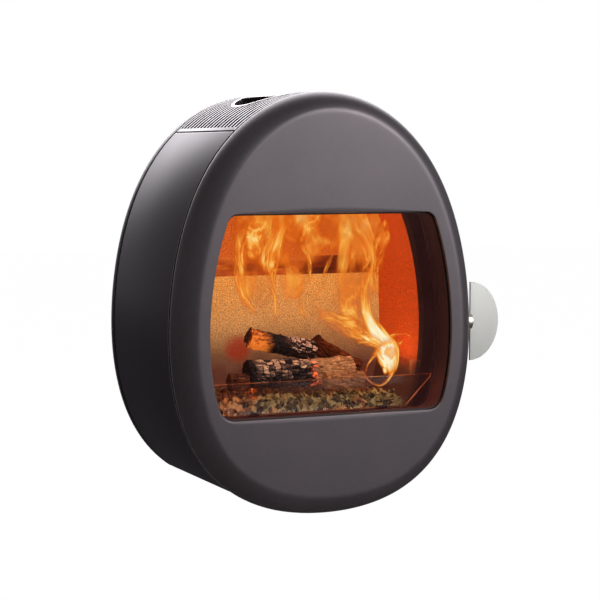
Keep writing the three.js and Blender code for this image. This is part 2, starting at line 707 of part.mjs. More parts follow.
function baseLining() {
  const plate = slab(crossBand(LINING_INSET, FLOOR_TOP + FIT, BASE_TOP), SHELL_FRONT, INSIDE_BACK);
  const { halfWidth: half, front, back, thickness, ledge } = GRATE;
  const seat = block(
    -half - FIT, half + FIT, front - FIT, back + FIT, BASE_TOP - thickness - FIT, BASE_TOP + PAST,
  );
  const well = block(
    -half + ledge, half - ledge, front + ledge, back - ledge, FLOOR_TOP - PAST, BASE_TOP + PAST,
  );
  return cut(plate, seat, well, ductHole(FLOOR_TOP - PAST, BASE_TOP + PAST));
}

function grate() {
  const { halfWidth: half, front, back, thickness, ledge, bars, slot } = GRATE;
  const low = BASE_TOP - thickness;
  const pitch = (2 * (half - ledge)) / bars;
  const slots = Array.from({ length: bars }, (_, i) => {
    const x = -half + ledge + pitch * (i + 0.5);
    return block(x - slot / 2, x + slot / 2, front + ledge, back - ledge, low - PAST, BASE_TOP + PAST);
  });
  return cut(block(-half, half, front, back, low, BASE_TOP), ...slots);
}

function airManifold() {
  const front = BACK_Y + SLOT_BAND_SETBACK;
  const outline = (inset, low, high) => slab(
    crossBand(LINING_INSET + inset, low, high), front + inset, INSIDE_BACK - inset,
  );
  const slots = Array.from({ length: AIR_SLOT.count }, (_, i) => {
    const x = (i - (AIR_SLOT.count - 1) / 2) * AIR_SLOT.pitch;
    const z = (SLOT_BAND_LOW + SLOT_BAND_HIGH - AIR_SLOT.height) / 2;
    const half = AIR_SLOT.width / 2;
    return block(x - half, x + half, front - PAST, front + 2 * DUCT_SHEET, z, z + AIR_SLOT.height);
  });
  const inlet = block(
    DUCT_SHEET - DUCT_HALF_WIDTH, DUCT_HALF_WIDTH - DUCT_SHEET,
    DUCT_FRONT + DUCT_SHEET, INSIDE_BACK - DUCT_SHEET, SLOT_BAND_LOW - PAST, SLOT_BAND_LOW + 2 * DUCT_SHEET,
  );
  return cut(
    outline(0, SLOT_BAND_LOW, SLOT_BAND_HIGH),
    outline(DUCT_SHEET, SLOT_BAND_LOW + DUCT_SHEET, SLOT_BAND_HIGH - DUCT_SHEET),
    ...slots,
    inlet,
  );
}

function rearDuct() {
  const half = DUCT_HALF_WIDTH;
  const hole = rectangle(
    -half + DUCT_SHEET, half - DUCT_SHEET, DUCT_FRONT + DUCT_SHEET, INSIDE_BACK - DUCT_SHEET,
  );
  return tile(rectangle(-half, half, DUCT_FRONT, INSIDE_BACK), BASE_TOP + FIT, SLOT_BAND_LOW - FIT, [hole]);
}

function airBox() {
  const half = AIR_BOX_HALF_WIDTH;
  const sheet = DUCT_SHEET;
  return cut(
    block(-half, half, AIR_BOX_FRONT, AIR_BOX_BACK, UNDERFRAME, AIR_BOX_TOP),
    block(
      -half + sheet, half - sheet, AIR_BOX_FRONT + sheet, AIR_BOX_BACK - sheet,
      UNDERFRAME + sheet, AIR_BOX_TOP + PAST,
    ),
    disc('y', SPIGOT_RADIUS - SPIGOT_SHEET, AIR_BOX_BACK - 2 * sheet, AIR_BOX_BACK + PAST, [0, 0, SPIGOT_Z]),
  );
}

// A ledge welded to the shell's right-hand wall, which the upper baffle lies on.
function baffleRail() {
  const top = DEFLECTOR_HEIGHT - FIT;
  const low = top - RAIL_HEIGHT;
  return slab(
    sideStrip(SHELL_INNER - SHELL_SHEET / 2, SHELL_INNER + RAIL_WIDTH, top, low),
    SHELL_FRONT + RAIL_SETBACK, SHELL_FRONT + DEFLECTOR_DEPTH,
  );
}

// ---------------------------------------------------------------- door
function frontPlate() {
  const arc = (radius, floor) => Array.from({ length: DOOR_ARC_STEPS + 1 }, (_, i) => {
    const angle = (Math.PI / 2) * (i / DOOR_ARC_STEPS);
    return ringAt(eggLoop(DOOR_DEPTH - radius * Math.sin(angle)), floor - radius * Math.cos(angle));
  });
  const inner = DOOR_DEPTH - DOOR_WALL;
  const outside = skin(arc(DOOR_DEPTH, DOOR_DEPTH), false);
  const inside = skin([...arc(inner, DOOR_DEPTH), ringAt(eggLoop(DOOR_WALL), DOOR_DEPTH + PAST)], false);
  const opening = skin([
    ringAt(windowLoop(WINDOW_BEVEL + PAST), -PAST),
    ringAt(windowLoop(WINDOW_BEVEL), 0),
    ringAt(windowLoop(0), WINDOW_BEVEL),
    ringAt(windowLoop(0), DOOR_WALL + PAST),
  ], false);
  const bosses = bossPlaces().map(([x, z]) => disc(
    'y', BOSS_RADIUS, DOOR_WALL / 2, FRAME_FRONT - FIT, [x, 0, z], ROUND.hole,
  ));
  const threads = bossPlaces().map(([x, z]) => disc(
    'y', SCREW_RADIUS + FIT, DOOR_WALL + PAST, FRAME_FRONT + PAST, [x, 0, z], ROUND.screw,
  ));
  return cut(join(cut(outside, inside, opening, stemNotch()), ...bosses), ...threads);
}

function bossPlaces() {
  const heights = [WINDOW_TOP + BOSS_OUT, WINDOW_BOTTOM - BOSS_OUT];
  return heights.flatMap((z) => [-BOSS_X, BOSS_X].map((x) => [x, z]));
}

function doorFrame() {
  const inner = FRAME_STEP_OUT;
  const outer = inner + FRAME_SHEET;
  const section = [
    [inner, FRAME_FRONT],
    [FRAME_FLANGE, FRAME_FRONT],
    [FRAME_FLANGE, FRAME_FRONT + FRAME_SHEET],
    [outer, FRAME_FRONT + FRAME_SHEET],
    [outer, FRAME_BACK - SEAL_FLANGE_SHEET],
    [SEAL_FLANGE, FRAME_BACK - SEAL_FLANGE_SHEET],
    [SEAL_FLANGE, FRAME_BACK],
    [inner, FRAME_BACK],
  ];
  const holes = bossPlaces().map(([x, z]) => disc(
    'y', SCREW_RADIUS + FIT, FRAME_FRONT - PAST, FRAME_FRONT + 2 * FRAME_SHEET, [x, 0, z], ROUND.screw,
  ));
  return cut(roundWindow(section), ...holes);
}

function frameScrew(x, z) {
  const tip = DOOR_WALL + SCREW_TIP_GAP;
  const seat = FRAME_FRONT + FRAME_SHEET + FIT;
  return turned('y', [
    [0, tip], [SCREW_RADIUS, tip], [SCREW_RADIUS, seat],
    [SCREW_HEAD, seat], [SCREW_HEAD, seat + SCREW_HEAD_HEIGHT], [0, seat + SCREW_HEAD_HEIGHT],
  ], [x, 0, z], ROUND.screw);
}

// The goose neck: from the front of the seal flange, round its edge, back to the hinge pin.
function hingeArm(z) {
  const flangeFront = FRAME_BACK - SEAL_FLANGE_SHEET - FIT - HINGE_Y;
  const backOfArm = FRONT_BACK - FIT - HINGE_Y;
  const frameOuter = FRAME_STEP_OUT + FRAME_SHEET + FIT;
  const inside = frameOuter - ARM_REACH;
  const neck = [
    [0, backOfArm - ARM_SHEET], [ARM_NECK, backOfArm - ARM_SHEET], [ARM_NECK, flangeFront - ARM_SHEET],
    [ARM_REACH, flangeFront - ARM_SHEET], [ARM_REACH, flangeFront], [ARM_NECK + ARM_SHEET, flangeFront],
    [ARM_NECK + ARM_SHEET, backOfArm], [0, backOfArm],
  ].map(([x, y]) => [x + HINGE_X, y + HINGE_Y]);
  const low = z - ARM_HALF_HEIGHT;
  const high = z + ARM_HALF_HEIGHT;
  return cut(
    join(tile(neck, low, high), disc('z', HINGE_RADIUS, low, high, [HINGE_X, HINGE_Y, 0], ROUND.knuckle)),
    disc('z', PIN_RADIUS + FIT, low - PAST, high + PAST, [HINGE_X, HINGE_Y, 0], ROUND.knuckle),
    roundWindow([[inside, 0], [frameOuter, 0], [frameOuter, WALL], [inside, WALL]]),
  );
}

function hingeBracket(z) {
  const low = z - ARM_HALF_HEIGHT - FIT - EAR;
  const high = z + ARM_HALF_HEIGHT + FIT;
  const inner = HINGE_X + HINGE_PLATE;
  const plate = block(HINGE_X + HINGE_RADIUS, inner, HINGE_Y, HINGE_Y + HINGE_PLATE, low, high + EAR);
  const arm = (from) => block(HINGE_X, inner, HINGE_Y, HINGE_Y + HINGE_RADIUS, from, from + EAR);
  const knuckle = (from) => disc('z', HINGE_RADIUS, from, from + EAR, [HINGE_X, HINGE_Y, 0], ROUND.knuckle);
  return cut(
    join(plate, arm(low), arm(high), knuckle(low), knuckle(high)),
    slab(flatEgg(SHELL_INSET - FIT, FLOOR_UNDER), 0, WALL),
    disc('z', PIN_RADIUS + FIT, low - EAR, high + 2 * EAR, [HINGE_X, HINGE_Y, 0], ROUND.knuckle),
    disc('z', HINGE_RADIUS + 2 * FIT, z - ARM_HALF_HEIGHT - FIT, high, [HINGE_X, HINGE_Y, 0], ROUND.knuckle),
  );
}

function hingePin(z) {
  const low = z - ARM_HALF_HEIGHT - FIT - EAR;
  const high = z + ARM_HALF_HEIGHT + FIT + EAR;
  return turned('z', [
    [0, low], [PIN_RADIUS, low], [PIN_RADIUS, high + FIT],
    [PIN_HEAD_RADIUS, high + FIT], [PIN_HEAD_RADIUS, high + FIT + PIN_HEAD], [0, high + FIT + PIN_HEAD],
  ], [HINGE_X, HINGE_Y, 0], ROUND.hole);
}

// ---------------------------------------------------------------- latch and handle
function handleStem() {
  const start = BUSH_IN + SPINDLE_START;
  const body = turned('x', [
    [0, start], [SPINDLE_RADIUS, start], [SPINDLE_RADIUS, STEM_START],
    [STEM_RADIUS, STEM_START], [STEM_RADIUS, STEM_END], [0, STEM_END],
  ], [0, HANDLE_Y, HANDLE_Z], ROUND.stem);
  const slotHalf = GRIP_SHEET / 2 + FIT;
  return cut(body, block(
    STEM_END - GRIP_TAB, STEM_END + PAST, HANDLE_Y - slotHalf, HANDLE_Y + slotHalf,
    HANDLE_Z - GRIP_TAB_HEIGHT / 2 - FIT, HANDLE_Z + GRIP_TAB_HEIGHT / 2 + FIT,
  ));
}

// The grip: half an ellipse on a straight edge, with a tab that sits in the stem's slot.
function handleGrip() {
  const start = STEM_END + FIT;
  const shape = [];
  for (let i = 0; i <= GRIP_STEPS; i += 1) {
    const angle = -Math.PI / 2 + Math.PI * (i / GRIP_STEPS);
    shape.push(new THREE.Vector2(
      start + GRIP_WIDTH * Math.cos(angle), HANDLE_Z + (GRIP_HEIGHT / 2) * Math.sin(angle),
    ));
  }
  const plate = slab(shape, HANDLE_Y - GRIP_SHEET / 2, HANDLE_Y + GRIP_SHEET / 2);
  const tab = block(
    start - GRIP_TAB + FIT, start + PAST, HANDLE_Y - GRIP_SHEET / 2, HANDLE_Y + GRIP_SHEET / 2,
    HANDLE_Z - GRIP_TAB_HEIGHT / 2, HANDLE_Z + GRIP_TAB_HEIGHT / 2,
  );
  return join(plate, tab);
}

function latchCam() {
  const middle = [0, HANDLE_Y, HANDLE_Z + CAM_OFFSET];
  const lobe = disc('x', CAM_RADIUS, CAM_X, CAM_X + CAM_WIDTH, middle, ROUND.shaft);
  return cut(lobe, disc(
    'x', SPINDLE_RADIUS + FIT, CAM_X - PAST, CAM_X + CAM_WIDTH + PAST, [0, HANDLE_Y, HANDLE_Z], ROUND.shaft,
  ));
}

function latchBush() {
  const reach = STEM_RADIUS;
  const front = HANDLE_Y - reach;
  const flangeFront = FRAME_BACK - SEAL_FLANGE_SHEET - FIT;
  const wall = halfWidth(HANDLE_Z, WINDOW_MARGIN - FRAME_STEP_OUT - FRAME_SHEET) + 3 * FIT;
  return cut(
    join(
      block(BUSH_IN + FIT, BUSH_OUT, front, FRONT_Y - BUSH_CLEARANCE, HANDLE_Z - reach, HANDLE_Z + reach),
      block(wall, BUSH_IN + SPINDLE_START, front, flangeFront, HANDLE_Z - reach, HANDLE_Z + reach),
    ),
    disc('x', SPINDLE_RADIUS + FIT, wall - PAST, BUSH_OUT + PAST, [0, HANDLE_Y, HANDLE_Z], ROUND.shaft),
  );
}

// Two prongs on the firebox that the cam turns between; the fork is open towards the door.
function latchKeeper() {
  const back = SHELL_FRONT + KEEPER.back;
  const foot = SHELL_FRONT + KEEPER.foot;
  const high = KEEPER_GAP + KEEPER_PRONG;
  const prong = (z) => block(
    CAM_X - KEEPER.prongIn, CAM_X + CAM_WIDTH, FRONT_Y - KEEPER.front, back, z, z + KEEPER_PRONG,
  );
  return cut(
    join(
      block(CAM_X - KEEPER.blockIn, CAM_X - KEEPER.blockOut, foot, back, HANDLE_Z - high, HANDLE_Z + high),
      prong(HANDLE_Z + KEEPER_GAP),
      prong(HANDLE_Z - high),
    ),
    slab(flatEgg(SHELL_INSET - FIT, FLOOR_UNDER), SHELL_FRONT - FIT, WALL),
    block(-WALL, BUSH_OUT + FIT, 0, SHELL_FRONT, HANDLE_Z - high - PAST, HANDLE_Z + high + PAST),
  );
}

// ---------------------------------------------------------------- air slide
function airSlide() {
  const plate = block(
    -AIR_BOX_HALF_WIDTH, AIR_BOX_HALF_WIDTH,
    LEVER_Y + FIT, FLOOR_HOLE_Y + 2 * SLIDE_TRAVEL, SLIDE_LOW, SLIDE_LOW + SLIDE_SHEET,
  );
  const hole = disc('z', FLOOR_HOLE, SLIDE_LOW - PAST, SLIDE_LOW + SLIDE_SHEET + PAST, [0, FLOOR_HOLE_Y, 0]);
  return cut(plate, hole);
}

function airKnob() {
  const top = UNDERSIDE - LEVER_DROP - FIT;
  const points = [[0, top]];
  for (let i = 0; i <= KNOB_STEPS; i += 1) {
    const angle = THREE.MathUtils.lerp(KNOB_FLAT, -Math.PI / 2, i / KNOB_STEPS);
    points.push([
      Math.max(KNOB_RADIUS * Math.cos(angle), 0),
      top - KNOB_RADIUS * (Math.sin(KNOB_FLAT) - Math.sin(angle)),
    ]);
  }
  return turned('z', points, [0, LEVER_Y - LEVER_SHEET / 2, 0], ROUND.knuckle);
}

// ---------------------------------------------------------------- retainer, fuel and ash
function retainerPane() {
  const bottom = BASE_TOP + 2 * FIT + FRAME_SHEET;
  const shoulder = RETAINER_TOP - RETAINER_NOSE;
  const high = halfWidth(shoulder, WINDOW_MARGIN - FRAME_STEP_OUT) - RETAINER_CLEARANCE;
  const low = high - RETAINER_TAPER;
  const outline = [
    [-low, bottom], [low, bottom], [high, shoulder], [high, RETAINER_TOP],
    [-high, RETAINER_TOP], [-high, shoulder],
  ].map(([x, z]) => new THREE.Vector2(x, z));
  return slab(outline, RETAINER_Y, RETAINER_Y + RETAINER_GLASS);
}

// A side pane that leans against the lining.
function retainerWing() {
  const low = BASE_TOP + FIT;
  const lean = (z, inset) => new THREE.Vector2(halfWidth(z, inset), z);
  const back = LINING_INSET + 2 * FIT;
  const outline = [
    lean(low, back), lean(WING_TOP, back),
    lean(WING_TOP, back + RETAINER_GLASS), lean(low, back + RETAINER_GLASS),
  ];
  return slab(outline, SHELL_FRONT + FIT, SHELL_FRONT + FIT + WING_LENGTH);
}

function retainerClip(side) {
  const x0 = side * CLIP_X - CLIP_WIDTH / 2;
  const x1 = x0 + CLIP_WIDTH;
  const low = BASE_TOP + FIT;
  const lipTop = low + CLIP_LIP;
  const front = RETAINER_Y - FIT;
  const back = RETAINER_Y + RETAINER_GLASS + FIT;
  return join(
    block(x0, x1, front - FRAME_SHEET, SHELL_FRONT + CLIP_FOOT, low, low + FRAME_SHEET),
    block(x0, x1, front - FRAME_SHEET, front, low, lipTop),
    block(x0, x1, back, back + FRAME_SHEET, low, lipTop),
  );
}

function ashBed() {
  const inset = LINING_INSET + RETAINER_GLASS + 5 * FIT;
  const low = BASE_TOP + FIT;
  const edge = halfWidth(low, inset);
  const outline = [
    [-edge, low], [edge, low], [edge, low + ASH_HEIGHT / 2], [edge * ASH_SHOULDER, ASH_TOP],
    [-edge * ASH_SHOULDER, ASH_TOP], [-edge, low + ASH_HEIGHT / 2],
  ].map(([x, z]) => new THREE.Vector2(x, z));
  return slab(outline, ASH_FRONT, BACK_Y - FIT);
}

function logMesh(group, name, spec, z) {
  const geometry = bare(new THREE.CylinderGeometry(spec.radius, spec.radius, spec.length, ROUND.log));
  const mesh = put(group, name, geometry, 'wood');
  mesh.rotation.set(0, rad(spec.tilt), Math.PI / 2);
  mesh.position.set(spec.x, spec.y, z);
}

// The upper log lies in the valley between the front and rear logs, on its lower end.
function upperLogHeight() {
  const { front, rear, upper } = LOG;
  const over = (under) => Math.sqrt((under.radius + upper.radius + 2 * FIT) ** 2 - (upper.y - under.y) ** 2)
    + ASH_TOP + FIT + under.radius;
  return Math.max(over(front), over(rear)) + (upper.length / 2) * Math.sin(rad(upper.tilt));
}

// Centre of the leaning log: its lower end stands on the ash and it lies on the end of the rear log.
function leaningPlace() {
  const { rear, leaning } = LOG;
  const tilt = rad(leaning.tilt);
  const reach = leaning.radius + 2 * FIT;
  const stand = ASH_TOP + FIT + leaning.radius * Math.cos(tilt) + (leaning.length / 2) * Math.sin(tilt);
  const touches = Array.from({ length: RIM_STEPS + 1 }, (_, i) => {
    const angle = (Math.PI / 2) * (i / RIM_STEPS);
    const aside = leaning.y - rear.y - rear.radius * Math.sin(angle);
    const lift = Math.sqrt(Math.max(reach ** 2 - aside ** 2, 0)) / Math.cos(tilt);
    return ASH_TOP + FIT + rear.radius * (1 + Math.cos(angle)) + lift;
  });
  const x = rear.x + rear.length / 2 + (Math.max(...touches) - stand) / Math.tan(tilt);
  return { x, z: stand };
}

// ---------------------------------------------------------------- assembly
const stove = new THREE.Group();
stove.position.set(0, -WALL, -BRACKET_Z);

put(stove, 'wall_bracket', wallBracket(), 'black');
put(stove, 'rear_casing', rearCasing(), 'casing');
put(stove, 'side_panel_right', sidePanelRight(), 'casing');
put(stove, 'side_panel_left', outward(sidePanel().scale(-1, 1, 1)), 'casing');
put(stove, 'top_grille', topGrille(), 'casing');
put(stove, 'flue_rim', flueRim(), 'rim');
put(stove, 'bottom_plate', bottomPlate(), 'black');
put(stove, 'hanger_upper', hanger(HANGER.upper), 'black');
put(stove, 'hanger_lower', hanger(HANGER.lower), 'black');
put(stove, 'rear_heat_shield', rearShield(), 'steel');

put(stove, 'front_frame', frontFrame(), 'iron');
put(stove, 'firebox_shell', fireboxShell(), 'iron');
put(stove, 'flue_collar', pipe(
  'z', FLUE_RADIUS - FLUE_SHEET, FLUE_RADIUS, FLUE_TOP - FLUE_DROP, FLUE_TOP, [0, FLUE_Y, 0],
), 'black');
put(stove, 'base_lining', baseLining(), 'vermiculite');
put(stove, 'grate', grate(), 'iron');
const sideLining = slab(
  sideStrip(SHELL_INNER + FIT, LINING_INSET, LINING_TOP, FLOOR_TOP + FIT), SHELL_FRONT, INSIDE_BACK,
);
put(stove, 'lining_right', sideLining, 'glowing');
put(stove, 'lining_left', outward(sideLining.clone().scale(-1, 1, 1)), 'vermiculite');
put(stove, 'lining_back_lower', slab(
  crossBand(LINING_INSET, BASE_TOP + FIT, SLOT_BAND_LOW - FIT), BACK_Y, BACK_Y + BACK_LINING,
), 'vermiculite');
put(stove, 'lining_back_upper', slab(
  crossBand(LINING_INSET, SLOT_BAND_HIGH + FIT, LINING_TOP - FIT), BACK_Y, BACK_Y + BACK_LINING,
), 'glowing');
put(stove, 'air_manifold', airManifold(), 'iron');
put(stove, 'rear_air_duct', rearDuct(), 'iron');
put(stove, 'baffle_lower', slab(
  crossBand(SHELL_INNER, LINING_TOP + FIT, LINING_TOP + FIT + BAFFLE_THICKNESS),
  SHELL_FRONT + BAFFLE_FRONT, INSIDE_BACK,
), 'vermiculite');
put(stove, 'baffle_upper', slab(
  crossBand(SHELL_INNER, DEFLECTOR_HEIGHT, DEFLECTOR_HEIGHT + DEFLECTOR_SHEET),
  SHELL_FRONT + FIT, SHELL_FRONT + DEFLECTOR_DEPTH,
), 'iron');
put(stove, 'air_box', airBox(), 'iron');
put(stove, 'air_inlet_spigot', pipe(
  'y', SPIGOT_RADIUS - SPIGOT_SHEET, SPIGOT_RADIUS, AIR_BOX_BACK + FIT, WALL - FIT, [0, 0, SPIGOT_Z],
), 'steel');

put(stove, 'log_retainer_glass', retainerPane(), 'glass');
put(stove, 'log_retainer_wing_right', retainerWing(), 'glass');
put(stove, 'log_retainer_wing_left', outward(retainerWing().scale(-1, 1, 1)), 'glass');
put(stove, 'retainer_clip_right', retainerClip(1), 'iron');
put(stove, 'retainer_clip_left', retainerClip(-1), 'iron');
put(stove, 'ash_bed', ashBed(), 'ash');
logMesh(stove, 'log_front', LOG.front, ASH_TOP + FIT + LOG.front.radius);
logMesh(stove, 'log_rear', LOG.rear, ASH_TOP + FIT + LOG.rear.radius);
logMesh(stove, 'log_right', LOG.right, ASH_TOP + FIT + LOG.right.radius);
logMesh(stove, 'log_left', LOG.left, ASH_TOP + FIT + LOG.left.radius);
logMesh(stove, 'log_upper', LOG.upper, upperLogHeight());
const { x: leaningX, z: leaningZ } = leaningPlace();
logMesh(stove, 'log_leaning', { ...LOG.leaning, x: leaningX }, leaningZ);

for (const [name, z] of Object.entries(HINGE_HEIGHTS)) {
  put(stove, `hinge_bracket_${name}`, hingeBracket(z), 'black');
  put(stove, `hinge_pin_${name}`, hingePin(z), 'steel');
}
put(stove, 'latch_keeper', latchKeeper(), 'steel');

const door = movingGroup(stove, HINGE_X, HINGE_Y, 0);
put(door, 'front_plate', frontPlate(), 'door');
put(door, 'glass_seal', roundWindow([
  [GLASS_SEAL_INNER, DOOR_WALL + FIT], [GLASS_SEAL_OUTER, DOOR_WALL + FIT],
  [GLASS_SEAL_OUTER, GLASS_FRONT - FIT], [GLASS_SEAL_INNER, GLASS_FRONT - FIT],
]), 'rope');
put(door, 'door_glass', slab(windowLoop(GLASS_LAP), GLASS_FRONT, GLASS_FRONT + GLASS), 'glass');
put(door, 'door_frame', doorFrame(), 'frame');
put(door, 'door_seal', roundWindow([
  [ROPE_INNER, FRAME_BACK + FIT], [ROPE_OUTER, FRAME_BACK + FIT],
  [ROPE_OUTER, FRAME_BACK + FIT + ROPE], [ROPE_INNER, FRAME_BACK + FIT + ROPE],
]), 'rope');
bossPlaces().forEach(([x, z], i) => put(door, `frame_screw_${i + 1}`, frameScrew(x, z), 'steel'));
for (const [name, z] of Object.entries(HINGE_HEIGHTS)) put(door, `hinge_arm_${name}`, hingeArm(z), 'black');
put(door, 'latch_bush', latchBush(), 'steel');

const handle = movingGroup(door, 0, HANDLE_Y, HANDLE_Z);
put(handle, 'handle_stem', handleStem(), 'steel');
put(handle, 'handle_grip', handleGrip(), 'grip');
put(handle, 'latch_cam', latchCam(), 'steel');

const air = movingGroup(stove, 0, LEVER_Y, SLIDE_LOW);
put(air, 'air_slide', airSlide(), 'iron');
put(air, 'air_lever', block(
  -LEVER_WIDTH / 2, LEVER_WIDTH / 2, LEVER_Y - LEVER_SHEET, LEVER_Y,
  UNDERSIDE - LEVER_DROP, SLIDE_LOW + SLIDE_SHEET,
), 'steel');
put(air, 'air_knob', airKnob(), 'black');

export default stove;
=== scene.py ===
"""Finishes and fine surfaces for a wall-hung, egg-shaped wood stove with a fire in it.

Constants and outlines are in millimetres, about the centre line of the egg, with the door's front face
at depth 0; place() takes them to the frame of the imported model. Lengths in the settings are metres.
"""

import json
import math

import bmesh
import bpy
import numpy as np
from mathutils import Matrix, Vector, noise

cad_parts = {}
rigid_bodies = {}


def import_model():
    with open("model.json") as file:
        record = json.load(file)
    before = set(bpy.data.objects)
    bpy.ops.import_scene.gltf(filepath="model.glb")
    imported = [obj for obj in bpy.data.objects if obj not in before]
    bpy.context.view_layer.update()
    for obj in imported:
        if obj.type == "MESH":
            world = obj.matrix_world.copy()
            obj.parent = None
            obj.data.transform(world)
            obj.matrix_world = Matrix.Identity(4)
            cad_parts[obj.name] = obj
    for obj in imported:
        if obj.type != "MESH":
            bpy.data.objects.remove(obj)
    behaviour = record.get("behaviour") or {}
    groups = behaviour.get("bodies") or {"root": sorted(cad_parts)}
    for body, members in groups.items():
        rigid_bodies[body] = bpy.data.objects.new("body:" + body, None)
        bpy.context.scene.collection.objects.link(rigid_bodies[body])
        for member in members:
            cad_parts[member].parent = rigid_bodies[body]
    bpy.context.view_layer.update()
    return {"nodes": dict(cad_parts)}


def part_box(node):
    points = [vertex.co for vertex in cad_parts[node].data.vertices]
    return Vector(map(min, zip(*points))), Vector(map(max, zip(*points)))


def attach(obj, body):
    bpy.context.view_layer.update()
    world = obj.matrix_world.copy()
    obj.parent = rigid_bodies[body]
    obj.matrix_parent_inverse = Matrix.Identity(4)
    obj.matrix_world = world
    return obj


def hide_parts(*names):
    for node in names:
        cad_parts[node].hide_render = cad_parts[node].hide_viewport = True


bl_info = {
    "name": "Wall-hung egg stove",
    "version": (1, 0, 0),
    "blender": (4, 5, 0),
    "location": "View3D > Sidebar > Stove",
    "description": "Builds the visible surfaces, finishes, fire and studio of a wall-hung stove",
    "category": "Object",
}

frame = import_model()
NODES = frame["nodes"]

# ---------------------------------------------------------------- sizes shared with the solids, in mm
GAP, FACET_SAG, LAP = 0.3, 0.06, 0.1
EGG_TOP, EGG_BOTTOM, EGG_SIDE, EGG_SHOULDER, EGG_CROWN = 410.0, 245.0, 251.2, 18.0, 2.1
EGG_WIDEST, UNDERSIDE = 38.08, -202.6
DOOR_DEPTH, DOOR_WALL, SHADOW_GAP = 45.0, 5.0, 5.5
CASING_DEPTH, CASING_SHEET, REAR_GAP, REAR_RIM, REAR_SHEET = 255.0, 2.5, 4.5, 14.0, 2.0
SLEEVE_LAP, BRACKET_DEPTH, BRACKET_Z = 9.0, 12.0, 80.0
CASING_FRONT = DOOR_DEPTH + SHADOW_GAP
CASING_BACK = CASING_FRONT + CASING_DEPTH
REAR_FRONT = CASING_BACK + REAR_GAP
REAR_BACK = REAR_FRONT + REAR_RIM
WALL = REAR_BACK + BRACKET_DEPTH
FLUE_Y = (CASING_FRONT + CASING_BACK) / 2
SEAM_ANGLE, SEAM_GAP, BAR_LAP = math.radians(22.5), 3.0, 0.004
RIM_INNER, RIM_OUTER, RIM_PROUD = 86.0, 91.0, 0.8
COLLAR_INNER, COLLAR_OUTER, COLLAR_LOW, COLLAR_HIGH, COLLAR_LIP = 72.5, 75.0, 355.0, EGG_TOP - 8, 0.8
WINDOW_TOP, WINDOW_BOTTOM, WINDOW_MARGIN = 224.2, -87.5, 48.5
WINDOW_TOP_RADIUS, WINDOW_BOTTOM_RADIUS, WINDOW_BEVEL = 18.0, 27.0, 0.8
GLASS_FRONT, GLASS, GLASS_LAP = 6.6, 4.0, 9.0
FRAME_FRONT, FRAME_BACK, FRAME_STEP_OUT = 10.9, 53.0, 2.5
SEAL_STRIP, SEAL_ROPE, ROPE_DEPTH, PRINT_BAND = (2.5, 6.0), (4.0, 9.5), 6.0, (-2.4, 2.3)
SHELL_FRONT, SHELL_INNER, INSIDE_BACK, BACK_Y, BOARD = 62.6, 34.0, 285.3, 221.6, 25.0
LINING_INSET, LINING_TOP, TRIM_DEPTH = 65.0, 236.0, 18.0
FLOOR_TOP, BASE_TOP, SHELL_UNDERSIDE = -106.6, -90.3, -110.6
SLOT_BAND_LOW, SLOT_BAND_HIGH = 116.0, 146.0
ASH_SHOULDER = 0.92
HANDLE_Z, HANDLE_Y, STEM_RADIUS = EGG_WIDEST + 7.0, 47.75, 14.0
GRIP_WIDTH, GRIP_HEIGHT, GRIP_SHEET, GRIP_REACH = 52.0, 127.0, 4.0, 10.0
LIT_STRIP, LIT_RIM, DOOR_LIP = 1.8, 5.0, 3.0
CREASE_SOFTNESS, CREASE_REACH = 0.6, 9.0
UNDERFRAME = UNDERSIDE + 3.3
SPIGOT_RADIUS, SPIGOT_BORE, SPIGOT_FRONT, SPIGOT_BACK = 35.0, 32.5, 285.2, 335.7
SPIGOT_Z = (UNDERFRAME + SHELL_UNDERSIDE) / 2

# The camera, from the photograph's perspective.
CAMERA_PLACE = Vector((-1190.0, -2541.8, 314.7))
CAMERA_TURN, CAMERA_DIP = math.radians(24.005), math.radians(4.557)
CAMERA_LENS, CAMERA_SENSOR, PICTURE = 110.33, 36.0, 600.0

# The studio, in metres: light banks that only gloss sees, by direction and spread, and two softboxes.
BACK_BANK, BACK_SPREAD = Vector((0.284, 0.805, 0.521)), (0.78, 1.0)
FRONT_BANK, FRONT_SPREAD = Vector((0.640, -0.726, 0.255)), (0.85, 0.99)
ROOM_GLOSS, ROOM_TINT, WHITE = 0.19, (1.0, 0.96, 1.0), (1.0, 1.0, 1.0)
KEY_PLACE, KEY_WIDTH, FILL_PLACE, FILL_WIDTH = (1.45, -2.5, 1.15), 1.5, (-0.6, -3.0, 1.6), 1.6
LIGHTS_AIM, FLOOR_REACH = Vector((0, -0.25, 0.0)), 14.0


def place(x, y, z):
    """A point of the outlines' frame, in mm, in the model's frame, in metres."""
    return Vector((x, y - WALL, z - BRACKET_Z)) / 1000


def sight_axes():
    ahead = Vector((
        math.sin(CAMERA_TURN) * math.cos(CAMERA_DIP),
        math.cos(CAMERA_TURN) * math.cos(CAMERA_DIP),
        -math.sin(CAMERA_DIP),
    ))
    right = ahead.cross(Vector((0, 0, 1))).normalized()
    return ahead, right, right.cross(ahead)


def seen_at(column, row, depth):
    """The point at a depth that lies behind a place in the 600 by 600 picture, in mm."""
    ahead, right, up = sight_axes()
    reach = CAMERA_LENS / CAMERA_SENSOR * PICTURE
    ray = ahead * reach + right * (column - PICTURE / 2) - up * (row - PICTURE / 2)
    return CAMERA_PLACE + ray * ((depth - CAMERA_PLACE.y) / ray.y)


# ---------------------------------------------------------------- settings
def amount(name, description, default, unit="NONE"):
    return bpy.props.FloatProperty(name=name, description=description, default=default, min=0.0, unit=unit)


def length(name, description, millimetres):
    return amount(name, description, millimetres / 1000, "LENGTH")


def in_mm(metres):
    return round(metres * 1000, 4)


def colour(name, description, default):
    return bpy.props.FloatVectorProperty(
        name=name, description=description, default=default, subtype="COLOR", size=3, min=0.0, max=1.0,
    )


